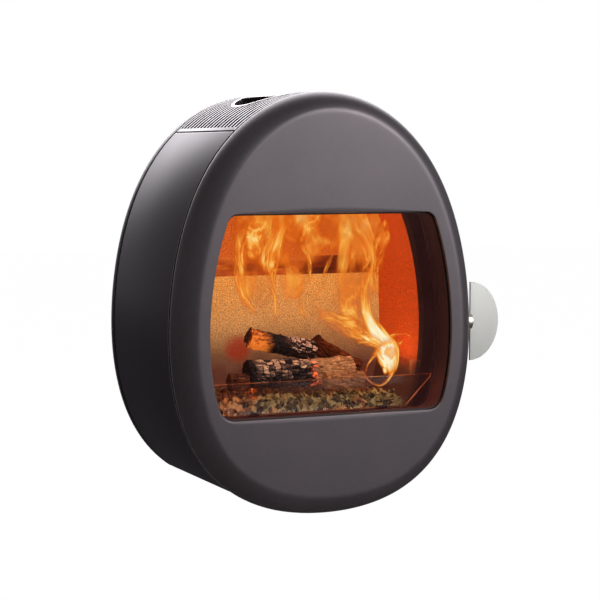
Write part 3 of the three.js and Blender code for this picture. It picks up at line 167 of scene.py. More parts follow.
def shade(red, green, blue):
    """An 8-bit display colour as linear values."""
    def linear(value):
        value /= 255
        return value / 12.92 if value <= 0.04045 else ((value + 0.055) / 1.055) ** 2.4
    return tuple(round(linear(v), 4) for v in (red, green, blue))


def stops(*rows):
    """Stops of a colour ramp, from (position, red, green, blue) rows of display colours."""
    return [(position, shade(*display)) for position, *display in rows]


class StoveCasingSettings(bpy.types.PropertyGroup):
    enamel: colour("Casing enamel", "Satin paint of the casing", shade(56, 52, 56))
    # Painted highlight for the edges of the sheets, where they catch the light.
    painted_edge_highlight: colour("Sheet edge", "Painted highlight along the edges of the sheets", shade(176, 168, 170))
    slots: bpy.props.IntProperty(name="Slots", description="Slots in the top", default=17, min=2, max=40)
    slot_width: length("Slot width", "Width of a slot in the top", 8.4)
    top_border: length("Top border", "Plain border round the slots", 6.0)
    edge_round: length("Edge rounding", "Radius along the edges of the sheets", 0.6)


class StoveDoorSettings(bpy.types.PropertyGroup):
    enamel: colour("Door enamel", "Matt metallic paint of the door", shade(74, 69, 72))
    frame: colour("Inner frame", "Enamel of the frame behind the glass", shade(28, 14, 13))
    grip: colour("Grip", "Brushed steel of the grip", shade(184, 185, 180))
    edge_depth: length("Edge depth", "Width of the door's rounded edge", 29.0)
    grip_edge: length("Grip edge", "Bevel round the grip", 0.9)


class StoveFireSettings(bpy.types.PropertyGroup):
    board: colour("Lining board", "Vermiculite board of the firebox", shade(112, 78, 50))
    # The side boards' colour, with the fire's light painted into it.
    lit_board: colour("Lit board", "Board lit from close by", shade(104, 44, 18))
    flame_core: colour("Flame core", "Colour at the heart of a flame", shade(255, 244, 204))
    flame_edge: colour("Flame edge", "Colour at the rim of a flame", shade(234, 110, 24))
    bark: colour("Bark", "Bark of the logs", shade(96, 74, 60))
    chips: bpy.props.IntProperty(
        name="Chips", description="Mineral chips on the bed", default=850, min=0, max=3000,
    )
    chip_size: length("Chip size", "Mean size of a chip", 11.5)
    glow: amount("Glow", "Power of the light inside the fire", 0.35, "POWER")


class StoveStudioSettings(bpy.types.PropertyGroup):
    floor: colour("Floor", "Colour of the floor", WHITE)
    floor_drop: length("Floor drop", "From the underside of the stove down to the floor", 420.0)
    key: amount("Key light", "Power of the main softbox", 44.0, "POWER")
    fill: amount("Fill light", "Power of the fill softbox", 6.0, "POWER")
    ambient: amount("Ambient", "Strength of the surroundings on matt surfaces", 0.37)
    back_bank: amount("Rear bank", "Strength of the light bank above and behind, in reflections", 4.3)
    front_bank: amount("Front bank", "Strength of the light bank above and in front, in reflections", 4.0)


# ---------------------------------------------------------------- outlines
def egg_radius(psi):
    mean, lean = (EGG_TOP + EGG_BOTTOM) / 4, (EGG_TOP - EGG_BOTTOM) / 2
    return (
        mean + EGG_SIDE / 2 - EGG_CROWN
        + (lean - EGG_SHOULDER - EGG_CROWN) * np.cos(psi)
        + (mean - EGG_SIDE / 2) * np.cos(2 * psi)
        + EGG_SHOULDER * np.cos(3 * psi)
        + EGG_CROWN * (np.cos(4 * psi) + np.cos(5 * psi))
    )


def egg_points(psi, inset=0.0):
    """Points of the egg drawn in by inset, one (x, z) row for each angle from the crown."""
    psi = np.atleast_1d(np.asarray(psi, float))

    def on(angle):
        return egg_radius(angle)[:, None] * np.stack([np.sin(angle), np.cos(angle)], 1)

    along = on(psi + 1e-4) - on(psi - 1e-4)
    along /= np.linalg.norm(along, axis=1)[:, None]
    normal = np.stack([-along[:, 1], along[:, 0]], 1)
    return on(psi) - normal * (inset + FACET_SAG)


def egg_angle(z, inset=0.0):
    above, below = 0.0, math.pi
    for _ in range(48):
        middle = (above + below) / 2
        if egg_points(middle, inset)[0, 1] > z:
            above = middle
        else:
            below = middle
    return (above + below) / 2


def half_width(z, inset=0.0):
    return float(egg_points(egg_angle(z, inset), inset)[0, 0])


def egg_arc(start, end, inset, count):
    return egg_points(np.linspace(start, end, count), inset)


def flat_egg(inset, floor, count=180):
    end = egg_angle(floor, inset)
    arc = egg_arc(-end, end, inset, count)
    base = np.linspace(arc[-1], arc[0], 26)[1:-1]
    return np.vstack([arc, base])


def window_loop(grow=0.0, count=360):
    """The window's outline, grown outwards, in even steps clockwise from the middle of its top."""
    inset = WINDOW_MARGIN - grow

    def corner(z, radius, start_up):
        psi = egg_angle(z, WINDOW_MARGIN + radius)
        centre = egg_points(psi, WINDOW_MARGIN + radius)[0]
        side = egg_points(psi, 0)[0] - centre
        side_angle = math.atan2(side[1], side[0])
        ends = (math.pi / 2, side_angle) if start_up else (side_angle, -math.pi / 2)
        angles = np.linspace(*ends, 24)
        reach = radius + grow
        return psi, centre + reach * np.stack([np.cos(angles), np.sin(angles)], 1)

    high, top_arc = corner(WINDOW_TOP - WINDOW_TOP_RADIUS, WINDOW_TOP_RADIUS, True)
    low, low_arc = corner(WINDOW_BOTTOM + WINDOW_BOTTOM_RADIUS, WINDOW_BOTTOM_RADIUS, False)
    side = egg_arc(high, low, inset, 80)[1:-1]
    right = np.vstack([[0.0, WINDOW_TOP + grow], top_arc, side, low_arc, [0.0, WINDOW_BOTTOM - grow]])
    left = right[::-1][1:-1] * [-1, 1]
    loop = np.vstack([right, left, right[:1]])
    steps = np.concatenate([[0], np.cumsum(np.linalg.norm(np.diff(loop, axis=0), axis=1))])
    wanted = np.linspace(0, steps[-1], count, endpoint=False)
    return np.stack([np.interp(wanted, steps, loop[:, k]) for k in (0, 1)], 1)


# ---------------------------------------------------------------- meshes
LOOP_STEPS, SHARP = 360, 35


def to_rows(points, depth):
    """(x, z) rows at a depth as model points."""
    depth = np.broadcast_to(depth, len(points))
    return [place(x, y, z) for (x, z), y in zip(points, depth)]


def plain_mesh(name, vertices, faces):
    mesh = bpy.data.meshes.new(name)
    mesh.from_pydata([tuple(v) for v in vertices], [], faces)
    return mesh


def finished_object(name, mesh, smooth=True, angle=30):
    obj = bpy.data.objects.new(name, mesh)
    bpy.context.scene.collection.objects.link(obj)
    mesh.polygons.foreach_set("use_smooth", [smooth] * len(mesh.polygons))
    if smooth:
        mesh.set_sharp_from_angle(angle=math.radians(angle))
    return obj


def recalculated(mesh):
    """Joins equal points and turns the faces outwards."""
    work = bmesh.new()
    work.from_mesh(mesh)
    bmesh.ops.remove_doubles(work, verts=work.verts, dist=1e-6)
    bmesh.ops.recalc_face_normals(work, faces=work.faces)
    if work.calc_volume(signed=True) < 0:
        bmesh.ops.reverse_faces(work, faces=work.faces)
    work.to_mesh(mesh)
    work.free()
    return mesh


def loft(name, rings, looped=False, caps=False, angle=SHARP):
    """A skin over closed rings of points; looped joins the last ring to the first."""
    count = len(rings[0])
    faces = []
    for r in range(len(rings) if looped else len(rings) - 1):
        here, there = r * count, ((r + 1) % len(rings)) * count
        for i in range(count):
            j = (i + 1) % count
            faces.append((here + i, here + j, there + j, there + i))
    if caps:
        faces.append(tuple(range(count))[::-1])
        faces.append(tuple(range((len(rings) - 1) * count, len(rings) * count)))
    mesh = plain_mesh(name, [p for ring in rings for p in ring], faces)
    return finished_object(name, recalculated(mesh), True, angle)


def rounded_section(low, high, front, back, radius, steps=3):
    """A rectangle with rounded corners as (across, along) pairs."""
    radius = min(radius, (high - low) / 2 * 0.96, (back - front) / 2 * 0.96)
    corners = [(high, front, -90), (high, back, 0), (low, back, 90), (low, front, 180)]
    section = []
    for across, along, start in corners:
        cx = across - radius if across == high else across + radius
        cy = along + radius if along == front else along - radius
        for k in range(steps + 1):
            angle = math.radians(start + 90 * k / steps)
            section.append((cx + radius * math.cos(angle), cy + radius * math.sin(angle)))
    return section


def sheet_on_egg(name, start, end, front, back, radius=0.5, count=90):
    """A sheet of the casing along the egg, between two angles and two depths, with softened edges."""
    section = rounded_section(-CASING_SHEET, 0, front, back, radius)
    strip = LIT_STRIP / EGG_TOP
    psi = np.unique(np.concatenate([np.linspace(start, end, count), [start + strip, end - strip]]))
    stations = [egg_points(psi, -grow) for grow, _ in section]
    rings = [
        [place(stations[k][i][0], depth, stations[k][i][1]) for k, (_, depth) in enumerate(section)]
        for i in range(len(psi))
    ]
    return loft(name, rings, caps=True)


def loop_sweep(name, outline, section):
    """A section of (growth, depth) pairs carried round an outline function."""
    return loft(name, [to_rows(outline(grow, LOOP_STEPS), depth) for grow, depth in section], looped=True)


def slab(name, outline, front, back, radius=0.5):
    """A plate with an (x, z) outline and softened rims; outline(inset) gives its points."""
    turns = [math.pi / 2 * k / 3 for k in range(4)]
    rings = [to_rows(outline(radius * (1 - math.sin(t))), front + radius * (1 - math.cos(t))) for t in turns]
    rings += [to_rows(outline(radius * (1 - math.cos(t))), back - radius * (1 - math.sin(t))) for t in turns]
    return loft(name, rings, caps=True)


def turned(name, profile, centre, axis, sides=96):
    """A lathe piece: a closed profile of (radius, along) pairs."""
    rings = []
    for radius, along in profile:
        ring = []
        for k in range(sides):
            turn = 2 * math.pi * k / sides
            a, b = radius * math.cos(turn), radius * math.sin(turn)
            x, y, z = {"x": (along, a, b), "y": (b, along, a), "z": (a, b, along)}[axis]
            ring.append(place(x + centre[0], y + centre[1], z + centre[2]))
        rings.append(ring)
    return loft(name, rings, looped=True)


def cut(obj, name, radius, low, high, centre, axis):
    """Takes a plain round tool out of an object."""
    tool = turned(name, [(0.001, low), (radius, low), (radius, high), (0.001, high)], centre, axis)
    modifier = obj.modifiers.new("shape", "BOOLEAN")
    modifier.operation, modifier.object, modifier.solver = "DIFFERENCE", tool, "EXACT"
    settled(obj)
    old = tool.data
    bpy.data.objects.remove(tool)
    bpy.data.meshes.remove(old)


def settled(obj):
    """Turns the object's modifiers into plain mesh."""
    mesh = bpy.data.meshes.new_from_object(obj.evaluated_get(bpy.context.evaluated_depsgraph_get()))
    obj.modifiers.clear()
    old, obj.data = obj.data, mesh
    bpy.data.meshes.remove(old)
    mesh.set_sharp_from_angle(angle=math.radians(SHARP))


def refined(node, name, bevel):
    """A cleaned copy of a solid's mesh, with its edges softened by bevel, in mm."""
    mesh = NODES[node].data.copy()
    mesh.materials.clear()
    work = bmesh.new()
    work.from_mesh(mesh)
    bmesh.ops.remove_doubles(work, verts=work.verts, dist=2e-6)
    bmesh.ops.dissolve_limit(
        work, angle_limit=math.radians(1), verts=work.verts, edges=work.edges, delimit=set(),
    )
    if bevel:
        corner = math.radians(40)
        sharp = [e for e in work.edges if len(e.link_faces) == 2 and e.calc_face_angle() > corner]
        bmesh.ops.bevel(
            work, geom=sharp, offset=bevel / 1000, segments=2, profile=0.5, affect="EDGES", clamp_overlap=True,
        )
    bmesh.ops.triangulate(work, faces=work.faces)
    work.to_mesh(mesh)
    work.free()
    return finished_object(name, mesh, True, SHARP)


def dress(obj, body, kind, *nodes, slot=None):
    """Gives a piece its finish, its body and the solids it stands for."""
    obj.data.materials.clear()
    obj.data.materials.append(finish(kind))
    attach(obj, body)
    if nodes:
        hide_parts(*nodes)
    return obj


def refit(node, body, kind, slot, bevel, name=None):
    """Dresses a softened copy of a solid, to stand for that solid."""
    return dress(refined(node, name or node + "_part", bevel), body, kind, node, slot=slot)


def second_finish(obj, kind, chosen):
    """Gives the faces that chosen picks, by their normal and centre, another finish."""
    obj.data.materials.append(finish(kind))
    last = len(obj.data.materials) - 1
    for face in obj.data.polygons:
        if chosen(face.normal, face.center):
            face.material_index = last


# ---------------------------------------------------------------- nodes
def maths(operation, swapped=False):
    """A method that adds a Math node; swapped puts the signal second."""
    def method(self, other):
        pair = (other, self) if swapped else (self, other)
        return self.wiring.number("ShaderNodeMath", {"operation": operation}, *pair)
    return method


class Signal:
    """A number in a node tree; arithmetic on it adds Math nodes."""

    def __init__(self, wiring, socket):
        self.wiring, self.socket = wiring, socket

    __add__ = __radd__ = maths("ADD")
    __sub__, __rsub__ = maths("SUBTRACT"), maths("SUBTRACT", True)
    __mul__ = __rmul__ = maths("MULTIPLY")
    __truediv__, __pow__ = maths("DIVIDE"), maths("POWER")
    above, below = maths("MAXIMUM"), maths("MINIMUM")

    def __abs__(self):
        return self.wiring.number("ShaderNodeMath", {"operation": "ABSOLUTE"}, self)

    def clamped(self):
        return self.above(0.0).below(1.0)

    def step(self, low, high):
        """0 below low, 1 above high, smooth between."""
        smooth = {"interpolation_type": "SMOOTHSTEP", "clamp": True}
        return self.wiring.number("ShaderNodeMapRange", smooth, self, low, high, 0.0, 1.0)


class Wiring:
    """A node tree being put together."""

    def __init__(self, tree):
        self.tree = tree
        tree.nodes.clear()

    def node(self, kind, settings=None, *values, **named):
        """A node of a type, with its settings set before the values or links of its sockets."""
        made = self.tree.nodes.new(kind)
        for key, value in (settings or {}).items():
            if key == "stops":
                self.set_stops(made.color_ramp, value)
            else:
                setattr(made, key, value)
        sockets = [s for s in made.inputs if s.enabled]
        for socket, value in zip(sockets, values):
            self.feed(socket, value)
        for key, value in named.items():
            self.feed(next(s for s in made.inputs if s.enabled and s.name == key.replace("_", " ")), value)
        return made

    def set_stops(self, ramp, rows):
        while len(ramp.elements) < len(rows):
            ramp.elements.new(0.5)
        for element, (position, value) in zip(ramp.elements, rows):
            element.position, element.color = position, (*value, 1.0)

    def feed(self, socket, value):
        if isinstance(value, Signal):
            value = value.socket
        if isinstance(value, bpy.types.Node):
            value = next(s for s in value.outputs if s.enabled)
        if isinstance(value, bpy.types.NodeSocket):
            self.tree.links.new(value, socket)
        elif value is not None:
            if hasattr(value, "__len__") and len(value) == 3 and len(socket.default_value) == 4:
                value = (*value, 1.0)
            socket.default_value = value

    def number(self, kind, settings=None, *values, **named):
        made = self.node(kind, settings, *values, **named)
        return Signal(self, next(s for s in made.outputs if s.enabled))

    def parts(self, source):
        """The three numbers of a vector."""
        return [Signal(self, s) for s in self.node("ShaderNodeSeparateXYZ", None, source).outputs]

    def first_part(self, source):
        """The red of a colour, as a number."""
        return Signal(self, self.node("ShaderNodeSeparateColor", None, source).outputs[0])

    def place(self):
        return self.node("ShaderNodeTexCoord").outputs["Object"]

    def axis(self, name):
        """X, Y or Z of the surface point, in mm, in the outlines' frame."""
        metres = Signal(self, self.node("ShaderNodeSeparateXYZ", None, self.place()).outputs[name])
        return metres * 1000 if name == "X" else metres * 1000 + {"Y": WALL, "Z": BRACKET_Z}[name]

    def path_of(self, layer):
        return self.node("ShaderNodeUVMap", {"uv_map": layer}).outputs[0]

    def stretched(self, scale, source=None):
        return self.node("ShaderNodeMapping", None, source or self.place(), Scale=scale).outputs[0]

    def noise(self, scale, detail=4.0, roughness=0.55, distortion=0.0, source=None):
        return self.number(
            "ShaderNodeTexNoise", None, Vector=source or self.place(), Scale=scale, Detail=detail,
            Roughness=roughness, Distortion=distortion,
        )

    def cells(self, scale):
        return self.number("ShaderNodeTexVoronoi", {"feature": "F1"}, Vector=self.place(), Scale=scale)

    def blend(self, amount, first, second, mode="MIX"):
        made = self.node("ShaderNodeMix", {"data_type": "RGBA", "blend_type": mode})
        for index, value in ((0, amount), (6, first), (7, second)):
            self.feed(made.inputs[index], value)
        return made.outputs[2]

    def ramp(self, value, rows):
        return self.node("ShaderNodeValToRGB", {"stops": rows}, value).outputs[0]


class Finish(Wiring):
    """A material being put together round one Principled shader."""

    def __init__(self, name, **constants):
        self.material = bpy.data.materials.new(name)
        self.material.use_nodes = True
        super().__init__(self.material.node_tree)
        self.output = self.tree.nodes.new("ShaderNodeOutputMaterial")
        self.shader = self.tree.nodes.new("ShaderNodeBsdfPrincipled")
        self.tree.links.new(self.shader.outputs[0], self.output.inputs[0])
        for socket, value in constants.items():
            self.shader.inputs[socket.replace("_", " ")].default_value = value

    def set(self, **links):
        for key, value in links.items():
            self.feed(self.shader.inputs[key.replace("_", " ")], value)
        return self

    def tinted(self, colour_value, value):
        """A colour made lighter or darker by a number."""
        grey = self.node("ShaderNodeCombineColor", None, value, value, value).outputs[0]
        return self.blend(1.0, colour_value, grey, "MULTIPLY")

    def bump(self, height, strength, distance):
        made = self.node("ShaderNodeBump", None, Height=height, Strength=strength, Distance=distance)
        return self.set(Normal=made.outputs[0])

    def see_through(self):
        self.material.surface_render_method = "BLENDED"
        return self.material


class Repeats(Wiring):
    """A geometry-node group being put together."""

    def __init__(self, name, **inputs):
        super().__init__(bpy.data.node_groups.new(name, "GeometryNodeTree"))
        face = self.tree.interface
        face.new_socket("Geometry", in_out="INPUT", socket_type="NodeSocketGeometry")
        self.ids = {}
        for label, value in inputs.items():
            kind = {int: "NodeSocketInt", float: "NodeSocketFloat"}.get(type(value), "NodeSocketMaterial")
            socket = face.new_socket(label, in_out="INPUT", socket_type=kind)
            if value is not None:
                socket.default_value = value
            self.ids[label] = socket.identifier
        face.new_socket("Geometry", in_out="OUTPUT", socket_type="NodeSocketGeometry")
        self.entry = self.tree.nodes.new("NodeGroupInput")
        self.exit = self.tree.nodes.new("NodeGroupOutput")

    def given(self, label):
        return self.entry.outputs[label]

    def ended(self, geometry):
        """Realizes the instances, sets the material and ends the tree."""
        real = self.node("GeometryNodeRealizeInstances", None, geometry)
        painted = self.node("GeometryNodeSetMaterial", None, real, Material=self.given("Material"))
        self.feed(self.exit.inputs[0], painted)
        return self

    def made_on(self, obj, **values):
        """Runs the tree on an object and leaves the result as its plain mesh."""
        modifier = obj.modifiers.new("tree", "NODES")
        modifier.node_group = self.tree
        for label, value in values.items():
            modifier[self.ids[label]] = value
        settled(obj)


FINISHES = {}


def finish(kind):
    """Each finish is made once: by its name in the table, by its maker, or by (maker, *arguments)."""
    if kind not in FINISHES:
        maker, *given = kind if isinstance(kind, tuple) else (kind,)
        named = isinstance(maker, str)
        FINISHES[kind] = mottled(maker, **MOTTLED_FINISHES[maker]) if named else maker(*given)
    return FINISHES[kind]


def settings(group):
    return getattr(bpy.context.scene, group)


# ---------------------------------------------------------------- finishes
def mottled(name, tone, base, rough, relief=None, bump=None, glow=None, drawn=None, woven=None, **constants):
    """Colours along one noise, the tone, and relief from another or from the same.

    rough holds the level and what the tone and the relief add to it; drawn and woven stretch the noises.
    """
    f = Finish(name, **constants)
    cloud = f.noise(*tone, source=drawn and f.stretched(drawn))
    grain = f.noise(*relief, source=woven and f.stretched(woven)) if relief else cloud
    level, by_tone, by_relief = rough
    f.set(Base_Color=f.ramp(cloud, base), Roughness=(cloud * by_tone if by_tone else grain * by_relief) + level)
    # glow paints the fire's light on as emission.
    if glow:
        f.set(Emission_Color=f.ramp(cloud, glow))
    return (f.bump(grain, *bump) if bump else f).material


MOTTLED_FINISHES = {
    # Also the dark finish painted as shade on slot walls and cut faces.
    "sooty iron": dict(
        tone=(60.0, 4.0), base=stops((0.3, 14, 12, 12), (0.8, 30, 26, 26)), rough=(0.85, 0.1, 0),
        relief=(600.0, 3.0), bump=(0.3, 0.0003), Specular_IOR_Level=0.1,
    ),
    "black iron": dict(
        tone=(30.0, 3.0), base=stops((0.3, 20, 16, 15), (0.75, 44, 36, 32)), rough=(0.7, 0.2, 0),
        relief=(420.0, 5.0, 0.6), bump=(0.4, 0.0004), Specular_IOR_Level=0.2,
    ),
    "black enamel": dict(
        tone=(22.0, 3.0), base=stops((0.3, 26, 24, 25), (0.8, 48, 45, 46)), rough=(0.42, 0.2, 0),
        relief=(700.0, 3.0), bump=(0.2, 0.00015), Metallic=0.2,
    ),
    "bright rim": dict(
        tone=(60.0, 3.0), drawn=(1.0, 1.0, 30.0), base=stops((0.3, 176, 172, 172), (0.75, 232, 228, 226)),
        rough=(0.22, 0.16, 0), bump=(0.08, 0.0002), Metallic=0.85,
    ),
    "plain steel": dict(
        tone=(90.0, 4.0), drawn=(1.0, 1.0, 22.0), base=stops((0.3, 118, 116, 112), (0.75, 182, 180, 175)),
        rough=(0.26, 0.22, 0), bump=(0.1, 0.0002), Metallic=1.0,
    ),
    "polished stem": dict(
        tone=(90.0, 4.0), drawn=(1.0, 1.0, 22.0), base=stops((0.3, 150, 146, 140), (0.75, 226, 222, 214)),
        rough=(0.26, 0.22, 0), bump=(0.1, 0.0002), Metallic=1.0,
    ),
    # Dark enamelled front of the firebox, seen past the lining, with the fire's glow painted on as emission.
    "firebox front enamel": dict(
        tone=(16.0, 3.0), base=stops((0.3, 16, 8, 8), (0.75, 28, 14, 13)), rough=(0.7, 0, 0.2),
        glow=stops((0.2, 32, 12, 12), (0.8, 52, 24, 23)), relief=(480.0, 3.0), bump=(0.15, 0.0002),
        Specular_IOR_Level=0.08, Emission_Strength=1.0,
    ),
    # The unlit front edge of the lining and of the steel strip that covers it, with a dim glow of the fire painted
    # on as emission.
    "lining front edge": dict(
        tone=(26.0, 3.0), base=stops((0.3, 14, 7, 7), (0.75, 24, 12, 11)), rough=(0.7, 0, 0.2),
        glow=stops((0.2, 28, 10, 10), (0.8, 44, 19, 18)), relief=(520.0, 3.0), bump=(0.15, 0.0002),
        Specular_IOR_Level=0.06, Emission_Strength=1.0,
    ),
    # Ceramic print round the edge of the glass.
    "black print": dict(
        tone=(900.0, 2.0), base=stops((0.3, 16, 10, 10), (0.8, 34, 20, 19)), rough=(0.4, 0.2, 0),
        Specular_IOR_Level=0.3,
    ),
    # Cut glass edge, with the fire's light in it painted on as emission.
    "lit glass edge": dict(
        tone=(16.0, 4.0), base=stops((0.3, 50, 24, 18), (0.75, 150, 80, 46)), rough=(0.2, 0.1, 0),
        glow=stops((0.40, 54, 20, 12), (0.56, 150, 62, 30), (0.75, 240, 150, 84)), Emission_Strength=1.0,
    ),
    "woven seal": dict(
        tone=(40.0,), base=stops((0.3, 44, 42, 42), (0.8, 96, 92, 88)), rough=(0.85, 0.1, 0),
        relief=(800.0, 2.0), woven=(1.0, 0.35, 1.0), bump=(0.7, 0.0008), Specular_IOR_Level=0.2,
    ),
}


# Painted highlight: brighter, glossier paint where the edges of the sheets catch the light.
def sheet_edge_highlight():
    highlight_tone = tuple(settings("stove_casing").painted_edge_highlight)
    return mottled(
        "bright sheet edge", (260.0, 4.0), [(0.25, shade(120, 114, 116)), (0.7, highlight_tone)], (0.28, 0.2, 0),
        bump=(0.1, 0.0002), Metallic=0.55,
    )


def door_enamel():
    base = tuple(settings("stove_door").enamel)
    f = Finish("door enamel", Metallic=0.5, Specular_IOR_Level=0.5)
    cloud, grain, mottle = f.noise(9.0, 3.0), f.noise(900.0, 2.0), f.noise(120.0, 4.0, 0.65)
    tint = f.blend((cloud - 0.3).clamped(), base, tuple(c * k for c, k in zip(base, (1.08, 1.0, 1.03))))
    f.set(Base_Color=f.tinted(tint, cloud * 0.30 + mottle * 0.22 + grain * 0.16 + 0.66))
    f.set(Roughness=0.38 + mottle * 0.10 - cloud * 0.06)
    return f.bump(grain + f.noise(1900.0, 1.0) * 0.5, 0.22, 0.00012).material


def casing_enamel():
    base = tuple(settings("stove_casing").enamel)
    f = Finish("casing enamel", Metallic=0.45, Specular_IOR_Level=0.5, Coat_Weight=0.10, Coat_Roughness=0.2)
    cloud, grain = f.noise(7.0, 3.0), f.noise(1100.0, 2.0)
    f.set(Base_Color=f.tinted(base, cloud * 0.24 + grain * 0.14 + 0.8))
    f.set(Roughness=0.30 + cloud * 0.10 + grain * 0.06)
    return f.bump(grain, 0.12, 0.0001).material


def top_enamel():
    """The same paint on the slotted top, smoother, so that its bars shine."""
    base = tuple(settings("stove_casing").enamel)
    f = Finish("top enamel", Metallic=0.55, Specular_IOR_Level=0.5, Coat_Weight=0.25, Coat_Roughness=0.15)
    cloud, grain = f.noise(9.0, 3.0), f.noise(1100.0, 2.0)
    f.set(Base_Color=f.tinted(base, cloud * 0.3 + grain * 0.14 + 0.9))
    f.set(Roughness=0.26 + cloud * 0.08)
    return f.bump(grain, 0.1, 0.0001).material


def rim_enamel():
    """The casing's paint on the rim at the wall, with a painted highlight along its rear edge."""
    chosen = settings("stove_casing")
    f = Finish("rear rim enamel", Metallic=0.5, Specular_IOR_Level=0.5)
    cloud, grain = f.noise(9.0, 3.0), f.noise(1100.0, 2.0)
    # Painted highlight along the rim's rear edge.
    highlight_from = REAR_BACK - LIT_RIM
    rear = f.axis("Y").step(highlight_from, highlight_from + 0.6)
    paint_tone = f.tinted(tuple(chosen.enamel), cloud * 0.2 + 0.6)
    f.set(Base_Color=f.blend(rear, paint_tone, f.tinted(tuple(chosen.painted_edge_highlight), grain * 0.2 + 0.9)))
    f.set(Roughness=0.34 + cloud * 0.1)
    return f.bump(grain, 0.1, 0.0001).material


def grip_steel():
    f = Finish("brushed grip", Metallic=0.35, Specular_IOR_Level=0.4)
    brushed, cloud = f.noise(140.0, 3.0, source=f.stretched((1.0, 1.0, 0.05))), f.noise(14.0, 2.0)
    f.set(Base_Color=f.tinted(tuple(settings("stove_door").grip), brushed * 0.10 + cloud * 0.06 + 0.92))
    f.set(Roughness=0.52 + brushed * 0.14)
    return f.bump(brushed, 0.08, 0.0001).material


def frame_enamel():
    """Dark brown enamel of the door frame, with the fire's glow painted on as emission, redder low down."""
    base = tuple(settings("stove_door").frame)
    f = Finish("inner frame enamel", Specular_IOR_Level=0.08, Emission_Strength=1.0)
    cloud, speck = f.noise(24.0, 3.0), f.noise(520.0, 3.0)
    # Painted glow of the fire, stronger low down.
    low = 1 - f.axis("Z").step(-70.0, 0.0)
    f.set(Base_Color=f.ramp(cloud, [(0.3, tuple(c * 0.6 for c in base)), (0.75, base)]))
    f.set(Emission_Color=f.blend(low * cloud, shade(38, 17, 17), shade(84, 36, 28)))
    f.set(Roughness=0.62 + speck * 0.16)
    return f.bump(speck, 0.15, 0.0002).material


def lining_board(name, body, glow, low_shade, dusk=(-60.0, 40.0), dim=shade(36, 12, 8), ember_glow=None, far=None):
    """Pressed vermiculite: fine flecks, the fire's light painted on as emission, darker low down as painted shade,
    and a painted red glow where embers lie close.

    dusk is the range of heights over which the painted shade fades, the ember glow a painted red patch as (x, z,
    reach), and far what the painted glow is multiplied by low down.
    """
    f = Finish(name, Specular_IOR_Level=0.15, Emission_Strength=1.0)
    across, height = f.axis("X"), f.axis("Z")
    fleck, tone, cloud = f.cells(520.0), f.noise(620.0, 4.0, 0.75), f.noise(9.0, 4.0, 0.6)
    grain = (fleck * 0.9 + tone * 1.5 - 0.72).clamped()
    # Painted shade: the board is darker low down, in its colour and in its painted glow.
    dark = ((1 - (height + (cloud - 0.5) * 60).step(*dusk)) * low_shade).clamped()

    def scaled(shade_value, factor):
        return tuple(min(1.0, c * factor) for c in shade_value)

    board = f.ramp(grain, [(0.15, scaled(body, 0.35)), (0.5, body), (0.85, scaled(body, 1.35))])
    f.set(Base_Color=f.blend(dark, board, shade(30, 14, 10)))
    lit = f.ramp(grain, [(0.12, scaled(glow, 0.34)), (0.48, glow), (0.9, scaled(glow, 1.35))])
    if far:
        lit = f.blend(((height - SLOT_BAND_LOW) / -150).clamped(), lit, f.blend(1.0, lit, far, "MULTIPLY"))
    seen = f.blend((dark + (0.55 - cloud) * 0.35).clamped(), lit, dim)
    # Painted light: a red glow of the embers on the board.
    if ember_glow:
        x, z, reach = ember_glow
        away = ((across - x) ** 2 + (height - z) ** 2) ** 0.5 + (cloud - 0.5) * 30
        seen = f.blend((1 - away.step(reach * 0.35, reach)) * 0.85, seen, shade(140, 30, 12))
    f.set(Emission_Color=seen, Roughness=0.8 + tone * 0.15)
    return f.bump(grain, 0.5, 0.0005).material


# The boards' glow is the fire's light painted on as emission.
def back_board():
    return lining_board(
        "back lining board", tuple(settings("stove_fire").board), shade(222, 142, 64), 1.05,
        dusk=(-56.0, 52.0), dim=shade(86, 42, 30), ember_glow=(-70.0, -2.0, 30.0), far=(0.42, 0.60, 1.3),
    )


def upper_board():
    return lining_board("upper lining board", tuple(settings("stove_fire").board), shade(196, 84, 26), 0.0)


def side_board():
    body = tuple(settings("stove_fire").lit_board)
    return lining_board("side lining board", body, shade(180, 56, 12), 1.0, (-44.0, -4.0), shade(60, 24, 15))


def base_board():
    return lining_board("base lining board", shade(104, 62, 44), shade(40, 16, 10), 0.4)


def air_band():
    """The steel band with the air slots, with the fire's light painted on as emission: bright at the left, and
    darker as painted shade behind the flames at the right.
    """
    f = Finish("air slot band", Specular_IOR_Level=0.2, Emission_Strength=1.0)
    cloud, speck = f.noise(30.0, 4.0, 0.6, source=f.stretched((0.5, 1.0, 1.6))), f.noise(420.0, 3.0)
    f.set(Base_Color=f.ramp(cloud, stops((0.3, 50, 20, 12), (0.8, 100, 50, 26))))
    # Painted light: the fire's glow on the band, bright at the left and darker at the right.
    firelit_glow = f.ramp(cloud, stops((0.34, 110, 38, 12), (0.5, 166, 66, 20), (0.68, 210, 104, 36)))
    shaded_glow = f.ramp(cloud, stops((0.38, 52, 16, 9), (0.62, 116, 38, 14)))
    lean = f.axis("X") - (f.axis("Z") - SLOT_BAND_LOW) * 0.8
    f.set(Emission_Color=f.blend(lean.step(34.0, 40.0), firelit_glow, shaded_glow), Roughness=0.6 + speck * 0.2)
    return f.bump(speck, 0.3, 0.0004).material


def clear_glass():
    f = Finish("door glass", Specular_IOR_Level=0.5, IOR=1.5)
    haze, dust = f.noise(11.0, 3.0), f.cells(60.0)
    speck = 1 - dust.step(0.03, 0.05)
    f.set(Base_Color=f.ramp(haze, stops((0.2, 40, 26, 22), (0.8, 90, 66, 56))))
    f.set(Alpha=(haze.step(0.5, 0.95) * 0.02 + speck * 0.3 + 0.015).clamped(), Roughness=0.04 + haze * 0.04)
    return f.see_through()


